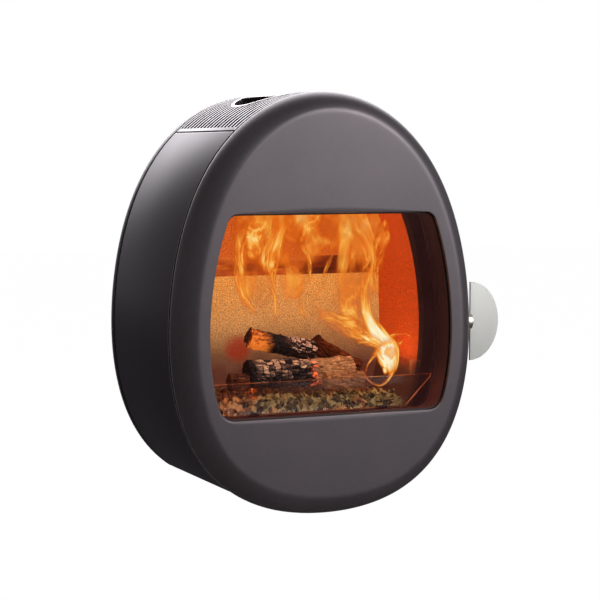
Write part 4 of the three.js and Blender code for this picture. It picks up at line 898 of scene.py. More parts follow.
def retainer_glass():
    """Smoky ceramic glass that keeps the logs back, with a dim glow of the fire painted on as emission."""
    f = Finish("retainer glass", Specular_IOR_Level=0.6, IOR=1.5, Emission_Strength=1.0)
    haze = f.noise(20.0, 3.0)
    f.set(Base_Color=f.ramp(haze, stops((0.2, 40, 22, 18), (0.8, 84, 50, 38))))
    # Painted glow of the fire in the glass.
    f.set(Emission_Color=f.ramp(haze, stops((0.3, 20, 8, 6), (0.8, 60, 28, 18))))
    f.set(Alpha=(haze * 0.10 + 0.06).clamped(), Roughness=0.06 + haze * 0.05)
    return f.see_through()


# ---------------------------------------------------------------- casing
def seam_turn():
    """Half of the seam between the top and a side panel, as an angle of the egg."""
    return SEAM_GAP / 2 / float(egg_radius(np.array([SEAM_ANGLE]))[0])


def cut_for_stem(obj, depth):
    side = half_width(HANDLE_Z)
    cut(obj, "stem notch", STEM_RADIUS + GAP, side - depth, side + 20, (0, HANDLE_Y, HANDLE_Z), "x")


def edge_finishes(sheet):
    """Paints a highlight along the rounded edges of a sheet, and paints its cut faces dark as shade."""
    near_seam = seam_turn() + LIT_STRIP * 1.1 / EGG_TOP

    def outward(centre):
        return Vector((centre.x, 0, centre.z + BRACKET_Z / 1000)).normalized()

    def lit(normal, centre):
        out = outward(centre)
        by_seam = abs(math.atan2(abs(out.x), out.z) - SEAM_ANGLE) < near_seam
        return -0.9 < normal.y < -0.2 or by_seam and normal.dot(out) > 0.5

    def shaded_cut_face(normal, centre):
        return normal.y <= -0.9 or abs(normal.y) < 0.1 and abs(normal.dot(outward(centre))) < 0.5
    # Painted highlight on the rounded edges; painted shade on the cut faces in the gaps.
    second_finish(sheet, sheet_edge_highlight, lit)
    second_finish(sheet, "sooty iron", shaded_cut_face)


class STOVE_OT_casing(bpy.types.Operator):
    """Build the curved side panels, the rear casing and the flat underside"""
    bl_idname = "stove.casing"
    bl_label = "Casing"

    def execute(self, context):
        radius = in_mm(settings("stove_casing").edge_round)
        start, end = SEAM_ANGLE + seam_turn(), egg_angle(UNDERSIDE, 0)
        for side, low, high in (("right", start, end), ("left", -end, -start)):
            panel = sheet_on_egg(f"side_panel_{side}_skin", low, high, CASING_FRONT, CASING_BACK, radius, 160)
            if side == "right":
                cut_for_stem(panel, 20)
            dress(panel, "body", casing_enamel, f"side_panel_{side}", slot="casing_enamel")
            edge_finishes(panel)
        self.rear(radius)
        refit("bottom_plate", "body", "black enamel", "black_enamel", 0.4, "underside_plate")
        return {"FINISHED"}

    def rear(self, radius):
        plate_front, sleeve_wall = REAR_BACK - REAR_SHEET, CASING_SHEET + GAP

        def plate_outline(inset):
            return flat_egg(inset, UNDERSIDE + inset)

        def rim_outline(grow, count):
            return flat_egg(-grow, UNDERSIDE - grow, count)

        def sleeve_outline(grow, count):
            return flat_egg(-grow, UNDERFRAME - sleeve_wall - grow, count)

        back = slab("rear_plate_skin", plate_outline, plate_front, REAR_BACK, 0.9)
        cut(back, "air hole", SPIGOT_RADIUS + GAP, plate_front - 10, WALL, (0, 0, SPIGOT_Z), "y")
        rim_section = rounded_section(-REAR_SHEET, 0, REAR_FRONT, plate_front + LAP, radius)
        rim = loop_sweep("rear_rim_skin", rim_outline, rim_section)
        sleeve = loop_sweep("rear_sleeve_skin", sleeve_outline, rounded_section(
            -sleeve_wall - REAR_SHEET, -sleeve_wall, CASING_BACK - SLEEVE_LAP, plate_front + LAP, 0.4,
        ))
        for part, kind in ((back, casing_enamel), (rim, rim_enamel), (sleeve, "sooty iron")):
            dress(part, "body", kind, slot="casing_enamel")
        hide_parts("rear_casing")


def grille_tree():
    """Repeats one curved bar at even steps in depth."""
    tree = Repeats("slotted top", Bars=18, Pitch=0.0145, Material=None)
    line = tree.node("GeometryNodeMeshLine", {"mode": "OFFSET"}, Count=tree.given("Bars"))
    tree.feed(line.inputs["Offset"], tree.node("ShaderNodeCombineXYZ", None, Y=tree.given("Pitch")))
    return tree.ended(tree.node("GeometryNodeInstanceOnPoints", None, line, Instance=tree.given("Geometry")))


class STOVE_OT_slotted_top(bpy.types.Operator):
    """Build the slotted top with its bars, its border and the bright rim round the flue opening"""
    bl_idname = "stove.slotted_top"
    bl_label = "Slotted top"

    def execute(self, context):
        chosen = settings("stove_casing")
        edge, slot = in_mm(chosen.top_border), in_mm(chosen.slot_width)
        reach = SEAM_ANGLE - seam_turn()
        slot_end = reach * (1 - edge / float(egg_points(reach)[0, 0]))
        bar_end = slot_end + BAR_LAP
        pitch = (CASING_DEPTH - 2 * edge + slot) / chosen.slots
        first = CASING_FRONT + edge + slot
        bars = sheet_on_egg("top_bars", -bar_end, bar_end, first, first + pitch - slot)
        grille_tree().made_on(bars, Bars=chosen.slots - 1, Pitch=pitch / 1000, Material=finish(top_enamel))
        cut(bars, "flue hole", RIM_OUTER + GAP, EGG_TOP - 110, EGG_TOP + 20, (0, FLUE_Y, 0), "z")
        dress(bars, "body", top_enamel, "top_grille", slot="casing_enamel")
        # Painted shade: the walls of the slots are dark.
        second_finish(bars, "sooty iron", lambda normal, _: abs(normal.y) > 0.55)
        front, back = CASING_FRONT + edge, CASING_BACK - edge
        strips = (
            ("front", -reach, reach, CASING_FRONT, front), ("back", -reach, reach, back, CASING_BACK),
            ("left", -reach, -slot_end, front - GAP, back + GAP),
            ("right", slot_end, reach, front - GAP, back + GAP),
        )
        for side, *span in strips:
            dress(sheet_on_egg(f"top_border_{side}", *span), "body", top_enamel, slot="casing_enamel")
        self.rim()
        low, high, lip = COLLAR_LOW, COLLAR_HIGH, COLLAR_LIP
        collar = turned("flue_collar_tube", [
            (COLLAR_INNER, low), (COLLAR_OUTER, low), (COLLAR_OUTER, high - lip), (COLLAR_OUTER - lip / 2, high),
            (COLLAR_INNER + lip / 2, high), (COLLAR_INNER, high - lip),
        ], (0, FLUE_Y, 0), "z", 128)
        dress(collar, "body", "sooty iron", "flue_collar", slot="black_enamel")
        return {"FINISHED"}

    def rim(self):
        """The ring lies on the egg, so each of its points takes the height of the egg below it."""
        section = rounded_section(RIM_INNER, RIM_OUTER, -CASING_SHEET, RIM_PROUD, 0.8)
        steps = 160
        rings = []
        for k in range(steps):
            turn = 2 * math.pi * k / steps
            ring = []
            for radius, lift in section:
                x, y = radius * math.sin(turn), FLUE_Y + radius * math.cos(turn)
                psi = self.angle_across(abs(x))
                ring.append(place(x, y, float(egg_points(psi)[0, 1]) + lift))
            rings.append(ring)
        ring = loft("flue_rim_ring", rings, looped=True, angle=30)
        dress(ring, "body", "bright rim", "flue_rim", slot="bright_steel")

    def angle_across(self, x):
        low, high = 0.0, 0.6
        for _ in range(30):
            middle = (low + high) / 2
            low, high = (middle, high) if float(egg_points(middle)[0, 0]) < x else (low, middle)
        return (low + high) / 2


# ---------------------------------------------------------------- door
class STOVE_OT_door(bpy.types.Operator):
    """Build the door's rounded front plate with its window"""
    bl_idname = "stove.door"
    bl_label = "Door plate"

    def execute(self, context):
        depth = in_mm(settings("stove_door").edge_depth)
        count, arc, rear = 420, 34, DOOR_DEPTH - DOOR_LIP
        circle = np.linspace(0, 2 * math.pi, count, endpoint=False)

        def ring(inset, y):
            return to_rows(egg_points(circle, inset), y)

        rings = [to_rows(window_loop(grow, count), y) for grow, y in ((0.0, DOOR_WALL), (0.0, 0.8), (0.2, 0.2))]
        sweep = (depth ** 2 + rear ** 2) / (2 * depth)
        widest = math.acos(1 - (depth + CREASE_REACH) / sweep)
        near, far = window_loop(WINDOW_BEVEL, count), egg_points(circle, depth + CREASE_REACH)
        for share in (0.0, 0.06, 0.3, 0.6, 0.85):
            rings.append(to_rows(near * (1 - share) + far * share, 0.0))
        for k in range(arc + 1):
            turn = widest * (1 - k / arc)
            y = CREASE_SOFTNESS * math.log1p(math.exp((rear - sweep * math.sin(turn)) / CREASE_SOFTNESS))
            rings.append(ring(sweep * (1 - math.cos(turn)), min(y, rear)))
        for inset, short in ((0.0, 0.8), (0.25, 0.25), (0.8, 0.0), (DOOR_WALL, 0.0)):
            rings.append(ring(inset, DOOR_DEPTH - short))
        inner = DOOR_DEPTH - DOOR_WALL
        for k in range(9):
            turn = math.pi / 2 * (1 - k / 8)
            rings.append(ring(DOOR_DEPTH - inner * math.sin(turn), DOOR_DEPTH - inner * math.cos(turn)))
        plate = loft("door_plate", rings, looped=True, angle=32)
        cut_for_stem(plate, 12)
        dress(plate, "door", door_enamel, "front_plate", slot="door_enamel")
        # Painted highlight along the door's rear lip, where its edge catches the light.
        lip = place(0, rear, 0).y
        second_finish(plate, sheet_edge_highlight, lambda normal, centre: centre.y > lip and abs(normal.y) < 0.75)
        return {"FINISHED"}


class STOVE_OT_glazing(bpy.types.Operator):
    """Build the door glass, its seals, the frame behind it and the frame's screws"""
    bl_idname = "stove.glazing"
    bl_label = "Glass and frame"

    def execute(self, context):
        pane = slab(
            "door_glass_pane", lambda inset: window_loop(GLASS_LAP - inset), GLASS_FRONT, GLASS_FRONT + GLASS,
        )
        dress(pane, "door", clear_glass, "door_glass", slot="clear_glass")
        printed = rounded_section(*PRINT_BAND, GLASS_FRONT - 0.25, GLASS_FRONT - 0.05, 0.08)
        strip = rounded_section(*SEAL_STRIP, DOOR_WALL + GAP, GLASS_FRONT - GAP, 0.4)
        rope = rounded_section(*SEAL_ROPE, FRAME_BACK + GAP, FRAME_BACK + ROPE_DEPTH, 2.6, 5)
        for name, section, kind, nodes, slot in (
            ("glass_border", printed, "black print", (), "black_enamel"),
            ("door_inner_frame", self.frame_section(), frame_enamel, ("door_frame",), "frame_enamel"),
            ("glass_seal_strip", strip, "woven seal", ("glass_seal",), "rope"),
            ("door_seal_rope", rope, "woven seal", ("door_seal",), "rope"),
        ):
            dress(loop_sweep(name, window_loop, section), "door", kind, *nodes, slot=slot)
        for k in range(1, 5):
            refit(f"frame_screw_{k}", "door", "plain steel", "plain_steel", 0.3, f"frame_screw_head_{k}")
        return {"FINISHED"}

    def frame_section(self):
        """The folded frame: a flange behind the glass, a wall, and a flange that carries the seal."""
        wall, flange, seal, sheet, fold = FRAME_STEP_OUT, 22.0, 10.5, 2.0, 0.5
        shelf = FRAME_BACK - 3.0
        return [
            (wall, FRAME_FRONT), (flange - fold, FRAME_FRONT), (flange, FRAME_FRONT + fold),
            (flange, FRAME_FRONT + sheet), (wall + sheet + fold, FRAME_FRONT + sheet),
            (wall + sheet, FRAME_FRONT + sheet + fold), (wall + sheet, shelf),
            (seal - fold, shelf), (seal, shelf + fold), (seal, FRAME_BACK - fold),
            (seal - fold, FRAME_BACK), (wall + fold, FRAME_BACK), (wall, FRAME_BACK - fold),
        ]


class STOVE_OT_handle(bpy.types.Operator):
    """Build the grip, its round stem and the latch"""
    bl_idname = "stove.handle"
    bl_label = "Handle and latch"

    def execute(self, context):
        edge = in_mm(settings("stove_door").grip_edge)
        start = half_width(HANDLE_Z) + GRIP_REACH + GAP

        def outline(inset):
            turn = np.linspace(-math.pi / 2, math.pi / 2, 90)
            x = start + inset + (GRIP_WIDTH - 2 * inset) * np.cos(turn)
            z = HANDLE_Z + (GRIP_HEIGHT / 2 - inset) * np.sin(turn)
            return np.stack([x, z], 1)
        grip = slab("grip_plate", outline, HANDLE_Y - GRIP_SHEET / 2, HANDLE_Y + GRIP_SHEET / 2, edge)
        dress(grip, "handle", grip_steel, "handle_grip", slot="grip_steel")
        refit("handle_stem", "handle", "polished stem", "plain_steel", 0.5, "grip_stem")
        for node, body in (("latch_cam", "handle"), ("latch_bush", "door"), ("latch_keeper", "body")):
            refit(node, body, "plain steel", "plain_steel", 0.3)
        return {"FINISHED"}


class STOVE_OT_hinges(bpy.types.Operator):
    """Finish the hidden hinges on the left"""
    bl_idname = "stove.hinges"
    bl_label = "Hinges"

    def execute(self, context):
        for height in ("lower", "upper"):
            refit(f"hinge_bracket_{height}", "body", "black enamel", "black_enamel", 0.4)
            refit(f"hinge_arm_{height}", "door", "black enamel", "black_enamel", 0.4)
            refit(f"hinge_pin_{height}", "body", "plain steel", "plain_steel", 0.2)
        return {"FINISHED"}


# ---------------------------------------------------------------- firebox
def board_strip(name, side, front, back, radius=1.0):
    """A lining board that follows the egg on one side, between two depths."""
    count = 90
    section = rounded_section(-LINING_INSET, -SHELL_INNER - GAP, front, back, radius)
    spans = {
        grow: egg_arc(egg_angle(LINING_TOP, -grow), egg_angle(FLOOR_TOP + GAP, -grow), -grow, count)
        for grow, _ in section
    }
    rings = [
        [place(side * spans[grow][i][0], depth, spans[grow][i][1]) for grow, depth in section]
        for i in range(count)
    ]
    return loft(name, rings, caps=True)


def back_lining(node, bottom, top, kind):
    """A board across the back of the firebox between two heights."""
    inset = LINING_INSET + GAP + 0.4

    def outline(shrink):
        heights = np.linspace(top - GAP - shrink, bottom + GAP + shrink, 30)
        right = np.array([[half_width(z, inset) - shrink, z] for z in heights])
        return np.vstack([right, right[::-1] * [-1, 1]])
    dress(slab(node + "_board", outline, BACK_Y, BACK_Y + BOARD, 0.8), "body", kind, node, slot="vermiculite")


def paint(node, kind):
    """Gives a solid that stays as it is a finish of its own."""
    obj = NODES[node]
    obj.data.materials.clear()
    obj.data.materials.append(finish(kind))


class STOVE_OT_firebox(bpy.types.Operator):
    """Build the firebox front, the lining boards, the air band and the baffles"""
    bl_idname = "stove.firebox"
    bl_label = "Firebox"

    def execute(self, context):
        # The firebox front carries a painted glow of the fire.
        refit("front_frame", "body", "firebox front enamel", "iron", 0.0, "firebox_front")
        seam = SHELL_FRONT + TRIM_DEPTH
        for side, name in ((1, "right"), (-1, "left")):
            board = board_strip(f"lining_{name}_board", side, seam, INSIDE_BACK)
            edge = board_strip(f"lining_{name}_edge", side, SHELL_FRONT, seam + 0.05, 0.6)
            # The edge strips carry a dim painted glow of the fire.
            dress(edge, "body", "lining front edge", slot="iron")
            dress(board, "body", side_board, f"lining_{name}", slot="vermiculite")
        back_lining("lining_back_lower", BASE_TOP, SLOT_BAND_LOW, back_board)
        back_lining("lining_back_upper", SLOT_BAND_HIGH, LINING_TOP, upper_board)
        for node in ("base_lining", "baffle_lower"):
            paint(node, base_board)
        for node in ("grate", "baffle_upper", "firebox_shell", "rear_air_duct", "air_box"):
            paint(node, "black iron")
        paint("air_manifold", air_band)
        return {"FINISHED"}


class STOVE_OT_retainer(bpy.types.Operator):
    """Build the glass that keeps the logs back, with a glow of the fire painted on its edges, and its clips"""
    bl_idname = "stove.retainer"
    bl_label = "Log retainer"

    def execute(self, context):
        glass, wing = "log_retainer_glass", "log_retainer_wing"
        for node in (glass, wing + "_right", wing + "_left"):
            pane = refit(node, "body", retainer_glass, "clear_glass", 0.5, node + "_pane")
            # The panes' edges carry a painted glow of the fire.
            if node == glass:
                second_finish(pane, "lit glass edge", lambda normal, _: abs(normal.y) < 0.8)
            else:
                second_finish(pane, "lit glass edge", lambda normal, _: normal.z > 0.6)
        for side in ("right", "left"):
            # The clips take the dark finish with its painted glow.
            paint(f"retainer_clip_{side}", "lining front edge")
        return {"FINISHED"}


# ---------------------------------------------------------------- fuel
BLACK, SEAM_BLACK = (0, 0, 0), shade(10, 5, 4)


def log_checks(f, grain, along, across):
    """Blocks of burnt wood along the log's grain, in mm: distance to a crack, and a grey for each block."""
    warp = f.node("ShaderNodeTexNoise", None, Vector=grain, Scale=0.09, Detail=3.0).outputs["Color"]
    bent = f.node("ShaderNodeVectorMath", {"operation": "MULTIPLY_ADD"}, warp, (7.0, 5.0, 0.0), grain).outputs[0]
    spots = dict(Vector=f.stretched((1 / along, 1 / across, 1.0), bent), Scale=1.0, Randomness=0.5)
    flat = {"voronoi_dimensions": "2D"}
    edge = f.number("ShaderNodeTexVoronoi", {**flat, "feature": "DISTANCE_TO_EDGE"}, **spots)
    return edge, f.first_part(f.node("ShaderNodeTexVoronoi", flat, **spots).outputs["Color"])


def facing(f, across, up):
    """How far a surface faces the front and the top."""
    _, y, z = f.parts(f.node("ShaderNodeNewGeometry").outputs["Normal"])
    return y * -across + z * up


def charred_wood():
    """Burnt wood: blocks of char with pale ash at the left, split grain at the right, embers between; the ash
    shows on faces toward the front and top as painted highlight, and the fire's light is painted on as emission.
    """
    split_from = 24.0
    f = Finish("charred wood", Specular_IOR_Level=0.15, Emission_Strength=1.0)
    grain = f.path_of("grain")
    edge, block = log_checks(f, grain, 11.0, 7.0)
    char, fine, cloud = f.noise(300.0, 5.0, 0.7), f.noise(900.0, 3.0), f.noise(30.0, 3.0)
    across, height = f.axis("X"), f.axis("Z")
    split = (across + cloud * 20).step(split_from - 4.0, split_from + 14.0)
    lit = (facing(f, 0.55, 0.75) + 0.1).clamped() * height.step(-62.0, -22.0)
    left = across.step(-92.0, -72.0)
    # The pale ash shows only on faces toward the front and top: real ash, brightened there as painted highlight.
    ash = ((block * 0.8 + char * 0.7 + cloud * 0.5 - 0.72) * 1.7 * lit * left).clamped()
    skin = f.ramp(ash, stops((0.0, 34, 22, 20), (0.3, 104, 72, 58), (0.7, 204, 150, 114)))
    fibre = f.noise(0.6, 5.0, 0.65, 0.7, source=f.stretched((0.09, 0.9, 1.0), grain))
    wood = f.ramp(
        (fibre * 1.1 + fine * 0.3 - 0.2).clamped(),
        stops((0.3, 56, 28, 18), (0.5, 158, 98, 58), (0.75, 228, 164, 108)),
    )
    gap = 1 - edge.step(0.02, 0.11)
    surface = f.blend(split, f.blend(gap, skin, SEAM_BLACK), wood)
    f.set(Base_Color=surface)
    seam = (1 - abs(across - split_from + 8.0).step(1.0, 10.0)) * f.noise(120.0, 3.0).step(0.42, 0.6)
    low = (1 - height.step(-60.0, -40.0)) * cloud.step(0.46, 0.6) * (gap * 0.9 + cloud * 0.5 - 0.1)
    glow = f.ramp((seam + low).clamped(), [(0.1, BLACK), (0.45, shade(140, 22, 6)), (0.95, shade(250, 96, 30))])
    # The fire's light on the log, painted on as emission.
    painted_firelight = f.blend((lit * 0.36 + 0.06 + split * 0.2).clamped(), BLACK, surface)
    f.set(Emission_Color=f.blend(1.0, painted_firelight, glow, "ADD"), Roughness=0.85 + fine * 0.1)
    return f.bump(edge.step(0.0, 0.2) * 1.4 + char * 0.4 * fine, 0.9, 0.003).material


def split_wood(name, dark, middle, light, glow):
    """Split wood with its grain and bark still brown, with the fire's light painted on as emission, stronger on
    faces toward the front and top.
    """
    f = Finish(name, Specular_IOR_Level=0.2, Emission_Strength=1.0)
    fibre = f.noise(0.55, 5.0, 0.65, 0.6, source=f.stretched((0.10, 0.8, 1.0), f.path_of("grain")))
    cloud, fine = f.noise(30.0, 4.0, 0.6), f.noise(800.0, 4.0, 0.7)
    tone = (fibre * 0.9 + fine * 0.5 + cloud * 0.4 - 0.40).clamped()
    tint = f.ramp(tone, [(0.25, dark), (0.5, middle), (0.8, light)])
    # Painted light: the fire's light on the faces toward the front and top, as emission.
    lit = (facing(f, 0.4, 0.6) + 0.35).clamped() * glow
    f.set(Base_Color=tint, Roughness=0.8 + fine * 0.15)
    f.set(Emission_Color=f.blend(lit, BLACK, f.blend(1.0, tint, shade(255, 206, 160), "MULTIPLY")))
    return f.bump(fibre * 1.2 + fine * 0.4, 0.9, 0.003).material


def bark_wood():
    return split_wood("bark wood", shade(60, 34, 24), shade(126, 80, 52), shade(206, 150, 96), 0.75)


def dark_wood():
    return split_wood("scorched wood", shade(20, 9, 7), shade(62, 26, 16), shade(150, 84, 44), 0.5)


def curled_wood():
    """A log whose left end is a curl of bark, lit by painted light in its colour and emission, and whose right end
    is charred; its pale ash shows on lit faces as painted highlight.
    """
    f = Finish("curled wood", Specular_IOR_Level=0.2, Emission_Strength=1.0)
    grain = f.path_of("grain")
    edge, block = log_checks(f, grain, 9.0, 6.0)
    fibre = f.noise(0.5, 4.0, 0.6, 0.8, source=f.stretched((0.08, 0.5, 1.0), grain))
    fine, cloud = f.noise(700.0, 4.0), f.noise(30.0, 3.0)
    across = f.axis("X")
    charred = (across + cloud * 24).step(-46.0, -22.0)
    burnt, lit = across.step(-24.0, 4.0), facing(f, 0.5, 0.8) + 0.1
    # The pale ash shows on the faces toward the front and top, as painted highlight.
    ash = ((block * 0.9 + fine * 0.5 + cloud * 0.4 - 0.66) * 1.7 * burnt * lit).clamped()
    char = f.ramp(ash, stops((0.0, 30, 16, 13), (0.35, 100, 66, 52), (0.7, 214, 168, 140)))
    gap = 1 - edge.step(0.02, 0.12)
    black = f.blend(gap, char, SEAM_BLACK)
    # Painted light: the bark is brighter on faces turned toward the front and down toward the fire, in its colour
    # and its emission.
    painted_light_on_bark = (facing(f, 0.9, -0.45) * 0.8 + fibre * 0.6 - 0.1).clamped()
    bark = f.ramp(painted_light_on_bark, stops((0.15, 34, 13, 8), (0.5, 150, 60, 18), (0.9, 222, 116, 38)))
    f.set(Base_Color=f.blend(charred, f.blend(0.5, BLACK, bark), black), Roughness=0.75 + fine * 0.2)
    f.set(Emission_Color=f.blend(charred, f.blend(0.85, BLACK, bark), f.blend(0.22, BLACK, black)))
    return f.bump(fibre * 0.6 + fine * 0.4 - gap * charred * 1.2, 0.9, 0.003).material


def log_shape(name, node, seed, rough, facets):
    """A split, burnt log in the place of a plain round one, with its grain coordinates in millimetres."""
    points = np.array([v.co for v in NODES[node].data.vertices])
    centre = points.mean(0)
    along = Vector(np.linalg.svd(points - centre, full_matrices=False)[2][0])
    if along.x < 0:
        along.negate()
    across = along.cross(Vector((0, 1, 0))).normalized()
    other = along.cross(across).normalized()
    reach = np.abs((points - centre) @ np.array(along)).max()
    radius = np.abs((points - centre) @ np.array(across)).max()
    sides, stations = 120, 140
    rings = []
    for i in range(stations):
        t = -1 + 2 * i / (stations - 1)
        end = min(1.0, (1 - abs(t)) * 14 + 0.86)
        ring = []
        for k in range(sides):
            turn = 2 * math.pi * k / sides
            unit = across * math.cos(turn) + other * math.sin(turn)
            wander = 0.5 * noise.noise(Vector((t * 1.3, seed, 0)))
            corner = math.cos(((turn + wander) * facets / (2 * math.pi) % 1 - 0.5) * 2 * math.pi / facets)
            flat = math.cos(math.pi / facets) / corner
            probe = unit * 1.3 + along * (t * reach / radius * 0.9) + Vector((seed, seed * 0.3, 0))
            wave = noise.noise(probe) + 0.5 * noise.noise(probe * 2.3) + 0.35 * noise.noise(probe * 5.1)
            chip = max(0.0, noise.noise(probe * 3.4 + Vector((9, 0, 0))) - 0.15)
            r = radius * end * (0.45 * flat + 0.53) * (1 - rough * (0.16 + 0.20 * wave + 0.5 * chip))
            ring.append(Vector(centre) + along * (t * reach) + unit * min(radius * 0.985, r))
        rings.append(ring)
    shape = loft(name, rings, caps=True, angle=50)
    layer = shape.data.uv_layers.new(name="grain")
    girth = 2 * math.pi * radius * 1000
    points, loops = shape.data.vertices, shape.data.loops
    for face in shape.data.polygons:
        spots = [points[loops[i].vertex_index].co - Vector(centre) for i in face.loop_indices]
        turns = [math.atan2(p.dot(other), p.dot(across)) / (2 * math.pi) % 1 for p in spots]
        wraps = max(turns) - min(turns) > 0.5
        capped = abs(face.normal.dot(along)) > 0.9
        for i, p, turn in zip(face.loop_indices, spots, turns):
            if capped:
                layer.data[i].uv = (p.dot(across) * 1000, p.dot(other) * 1000)
            else:
                layer.data[i].uv = (p.dot(along) * 1000, (turn + (wraps and turn < 0.5)) * girth)
    return shape


class STOVE_OT_logs(bpy.types.Operator):
    """Build the burning logs"""
    bl_idname = "stove.logs"
    bl_label = "Logs"

    def execute(self, context):
        plan = (
            ("log_front", 3.0, 0.8, 7, charred_wood), ("log_rear", 11.0, 1.1, 6, dark_wood),
            ("log_upper", 17.0, 0.9, 4, curled_wood), ("log_right", 23.0, 1.0, 5, bark_wood),
            ("log_left", 31.0, 1.3, 5, dark_wood), ("log_leaning", 37.0, 1.0, 5, dark_wood),
        )
        for node, seed, rough, facets, maker in plan:
            dress(log_shape(node + "_wood", node, seed, rough, facets), "body", maker, node, slot="wood")
        return {"FINISHED"}


def mineral_chips():
    """Broken vermiculite and ash: khaki in the middle, tan at the left, embers behind; lighter on faces toward the
    front and top as painted light, with the fire's light painted on as emission.
    """
    f = Finish("mineral chips", Specular_IOR_Level=0.25, Emission_Strength=1.0)
    tone, fine, hue = f.noise(170.0, 4.0, 0.65), f.noise(640.0, 4.0, 0.7), f.noise(40.0, 2.0)
    stone = f.first_part(f.node("ShaderNodeTexVoronoi", None, Vector=f.place(), Scale=120.0).outputs["Color"])
    # Painted light: chips are lighter on faces toward the front and top.
    value = ((tone - 0.5) * 1.1 + (fine - 0.5) * 0.5 + stone * 0.7 - 0.02 + facing(f, 0.25, 0.35)).clamped()
    khaki = f.ramp(value, stops((0.22, 18, 10, 6), (0.54, 104, 84, 46), (0.9, 172, 150, 98)))
    tan = f.ramp(value, stops((0.22, 28, 12, 8), (0.52, 136, 80, 44), (0.85, 206, 144, 88)))
    across = f.axis("X")
    side = ((across * -1).step(84.0, 122.0) + hue.step(0.56, 0.64) * 0.8).clamped()
    behind = f.axis("Y").step(92.0, 112.0)
    base = f.blend(behind * 0.75, f.blend(side, khaki, tan), shade(54, 26, 18))
    spots = 1 - abs(across + 66.0).step(14.0, 34.0) * 0.9
    heat = (behind * spots * f.noise(48.0, 3.0).step(0.5, 0.62)).clamped()
    glow = f.ramp(heat, [(0.0, BLACK), (0.4, shade(120, 22, 6)), (0.95, shade(236, 96, 26))])
    # The fire's light on the chips, painted on as emission.
    painted_firelight = f.blend(1.0, base, shade(255, 214, 168), "MULTIPLY")
    f.set(Base_Color=base, Emission_Color=f.blend(0.34, glow, painted_firelight, "ADD"), Roughness=0.75 + fine * 0.2)
    return f.bump(fine + tone * 0.4, 0.7, 0.0012).material


def chip_tree():
    """Scatters small broken stones over a surface."""
    tree = Repeats("mineral chips", Chips=900, Size=0.006, Seed=4, Material=None)
    surface = tree.given("Geometry")
    _, _, up = tree.parts(tree.node("GeometryNodeInputNormal"))
    upward = tree.node("FunctionNodeCompare", {"operation": "GREATER_THAN"}, up, -0.2)
    spots = tree.node(
        "GeometryNodeDistributePointsOnFaces", {"distribute_method": "RANDOM"}, surface,
        Selection=upward.outputs[0], Seed=tree.given("Seed"),
    )
    total = tree.node("GeometryNodeAttributeStatistic", {"data_type": "FLOAT", "domain": "FACE"}, surface)
    tree.feed(total.inputs["Attribute"], tree.node("GeometryNodeInputMeshFaceArea"))
    density = tree.node("ShaderNodeMath", {"operation": "DIVIDE"}, tree.given("Chips"), total.outputs["Sum"])
    tree.feed(spots.inputs["Density"], density)
    stone = tree.node("GeometryNodeMeshIcoSphere", None, 1.0, 1)
    bumps = tree.node("ShaderNodeTexNoise", None, Scale=1.3, Detail=2.0)
    half = (0.5, 0.5, 0.5)
    centred = tree.node("ShaderNodeVectorMath", {"operation": "SUBTRACT"}, bumps.outputs["Color"], half)
    offset = tree.node("ShaderNodeVectorMath", {"operation": "SCALE"}, centred, Scale=2.8)
    rough = tree.node("GeometryNodeSetPosition", None, stone.outputs["Mesh"], Offset=offset)
    flat = tree.node("GeometryNodeSetShadeSmooth", None, rough, Shade_Smooth=False)
    drawn = {"data_type": "FLOAT_VECTOR"}
    scale = tree.node("FunctionNodeRandomValue", drawn, (0.5, 0.4, 0.2), (1.9, 1.4, 0.8))
    sized = tree.node("ShaderNodeVectorMath", {"operation": "SCALE"}, scale, Scale=tree.given("Size"))
    turn = tree.node("FunctionNodeRandomValue", drawn, (-3.1, -3.1, -3.1), (3.1, 3.1, 3.1))
    copies = tree.node(
        "GeometryNodeInstanceOnPoints", None, spots.outputs["Points"], Instance=flat, Rotation=turn, Scale=sized,
    )
    both = tree.node("GeometryNodeJoinGeometry")
    tree.feed(both.inputs[0], copies)
    tree.feed(both.inputs[0], surface)
    return tree.ended(both)


def heap(name, node, columns=150, rows=70, margin=0.005):
    """The bed's surface: full height along the front, dished and bumpy behind, low at the sides."""
    low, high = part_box(node)
    height = high.z - low.z - margin
    tops = []
    for j in range(rows):
        v = j / (rows - 1)
        for i in range(columns):
            u = i / (columns - 1) * 2 - 1
            x = low.x + margin + (high.x - low.x - 2 * margin) * (u + 1) / 2
            y = low.y + margin + (high.y - low.y - 2 * margin) * v
            probe = Vector((x * 60, y * 60, 0))
            bumps = noise.noise(probe) * 0.12 + noise.noise(probe * 2.7) * 0.08
            edge = min(1.0, (1 - abs(u)) / (1 - ASH_SHOULDER))
            share = (0.5 + 0.5 * edge) * (0.92 - 0.1 * math.sin(math.pi * v)) + bumps - 0.1
            tops.append(Vector((x, y, low.z + 0.001 + height * max(0.1, min(1.0, share)))))
    faces = []
    under = len(tops)
    for j in range(rows - 1):
        for i in range(columns - 1):
            a = j * columns + i
            quad = (a, a + 1, a + columns + 1, a + columns)
            faces.append(quad)
            faces.append(tuple(q + under for q in reversed(quad)))
    front, back = list(range(columns)), list(range(columns * (rows - 1), columns * rows))
    right = [columns * j + columns - 1 for j in range(1, rows - 1)]
    left = [columns * j for j in range(rows - 2, 0, -1)]
    edge = front + right + back[::-1] + left
    for a, b in zip(edge, edge[1:] + edge[:1]):
        faces.append((a + under, b + under, b, a))
    mesh = plain_mesh(name, tops + [(v.x, v.y, low.z + 0.0005) for v in tops], faces)
    return finished_object(name, recalculated(mesh), True, 60)


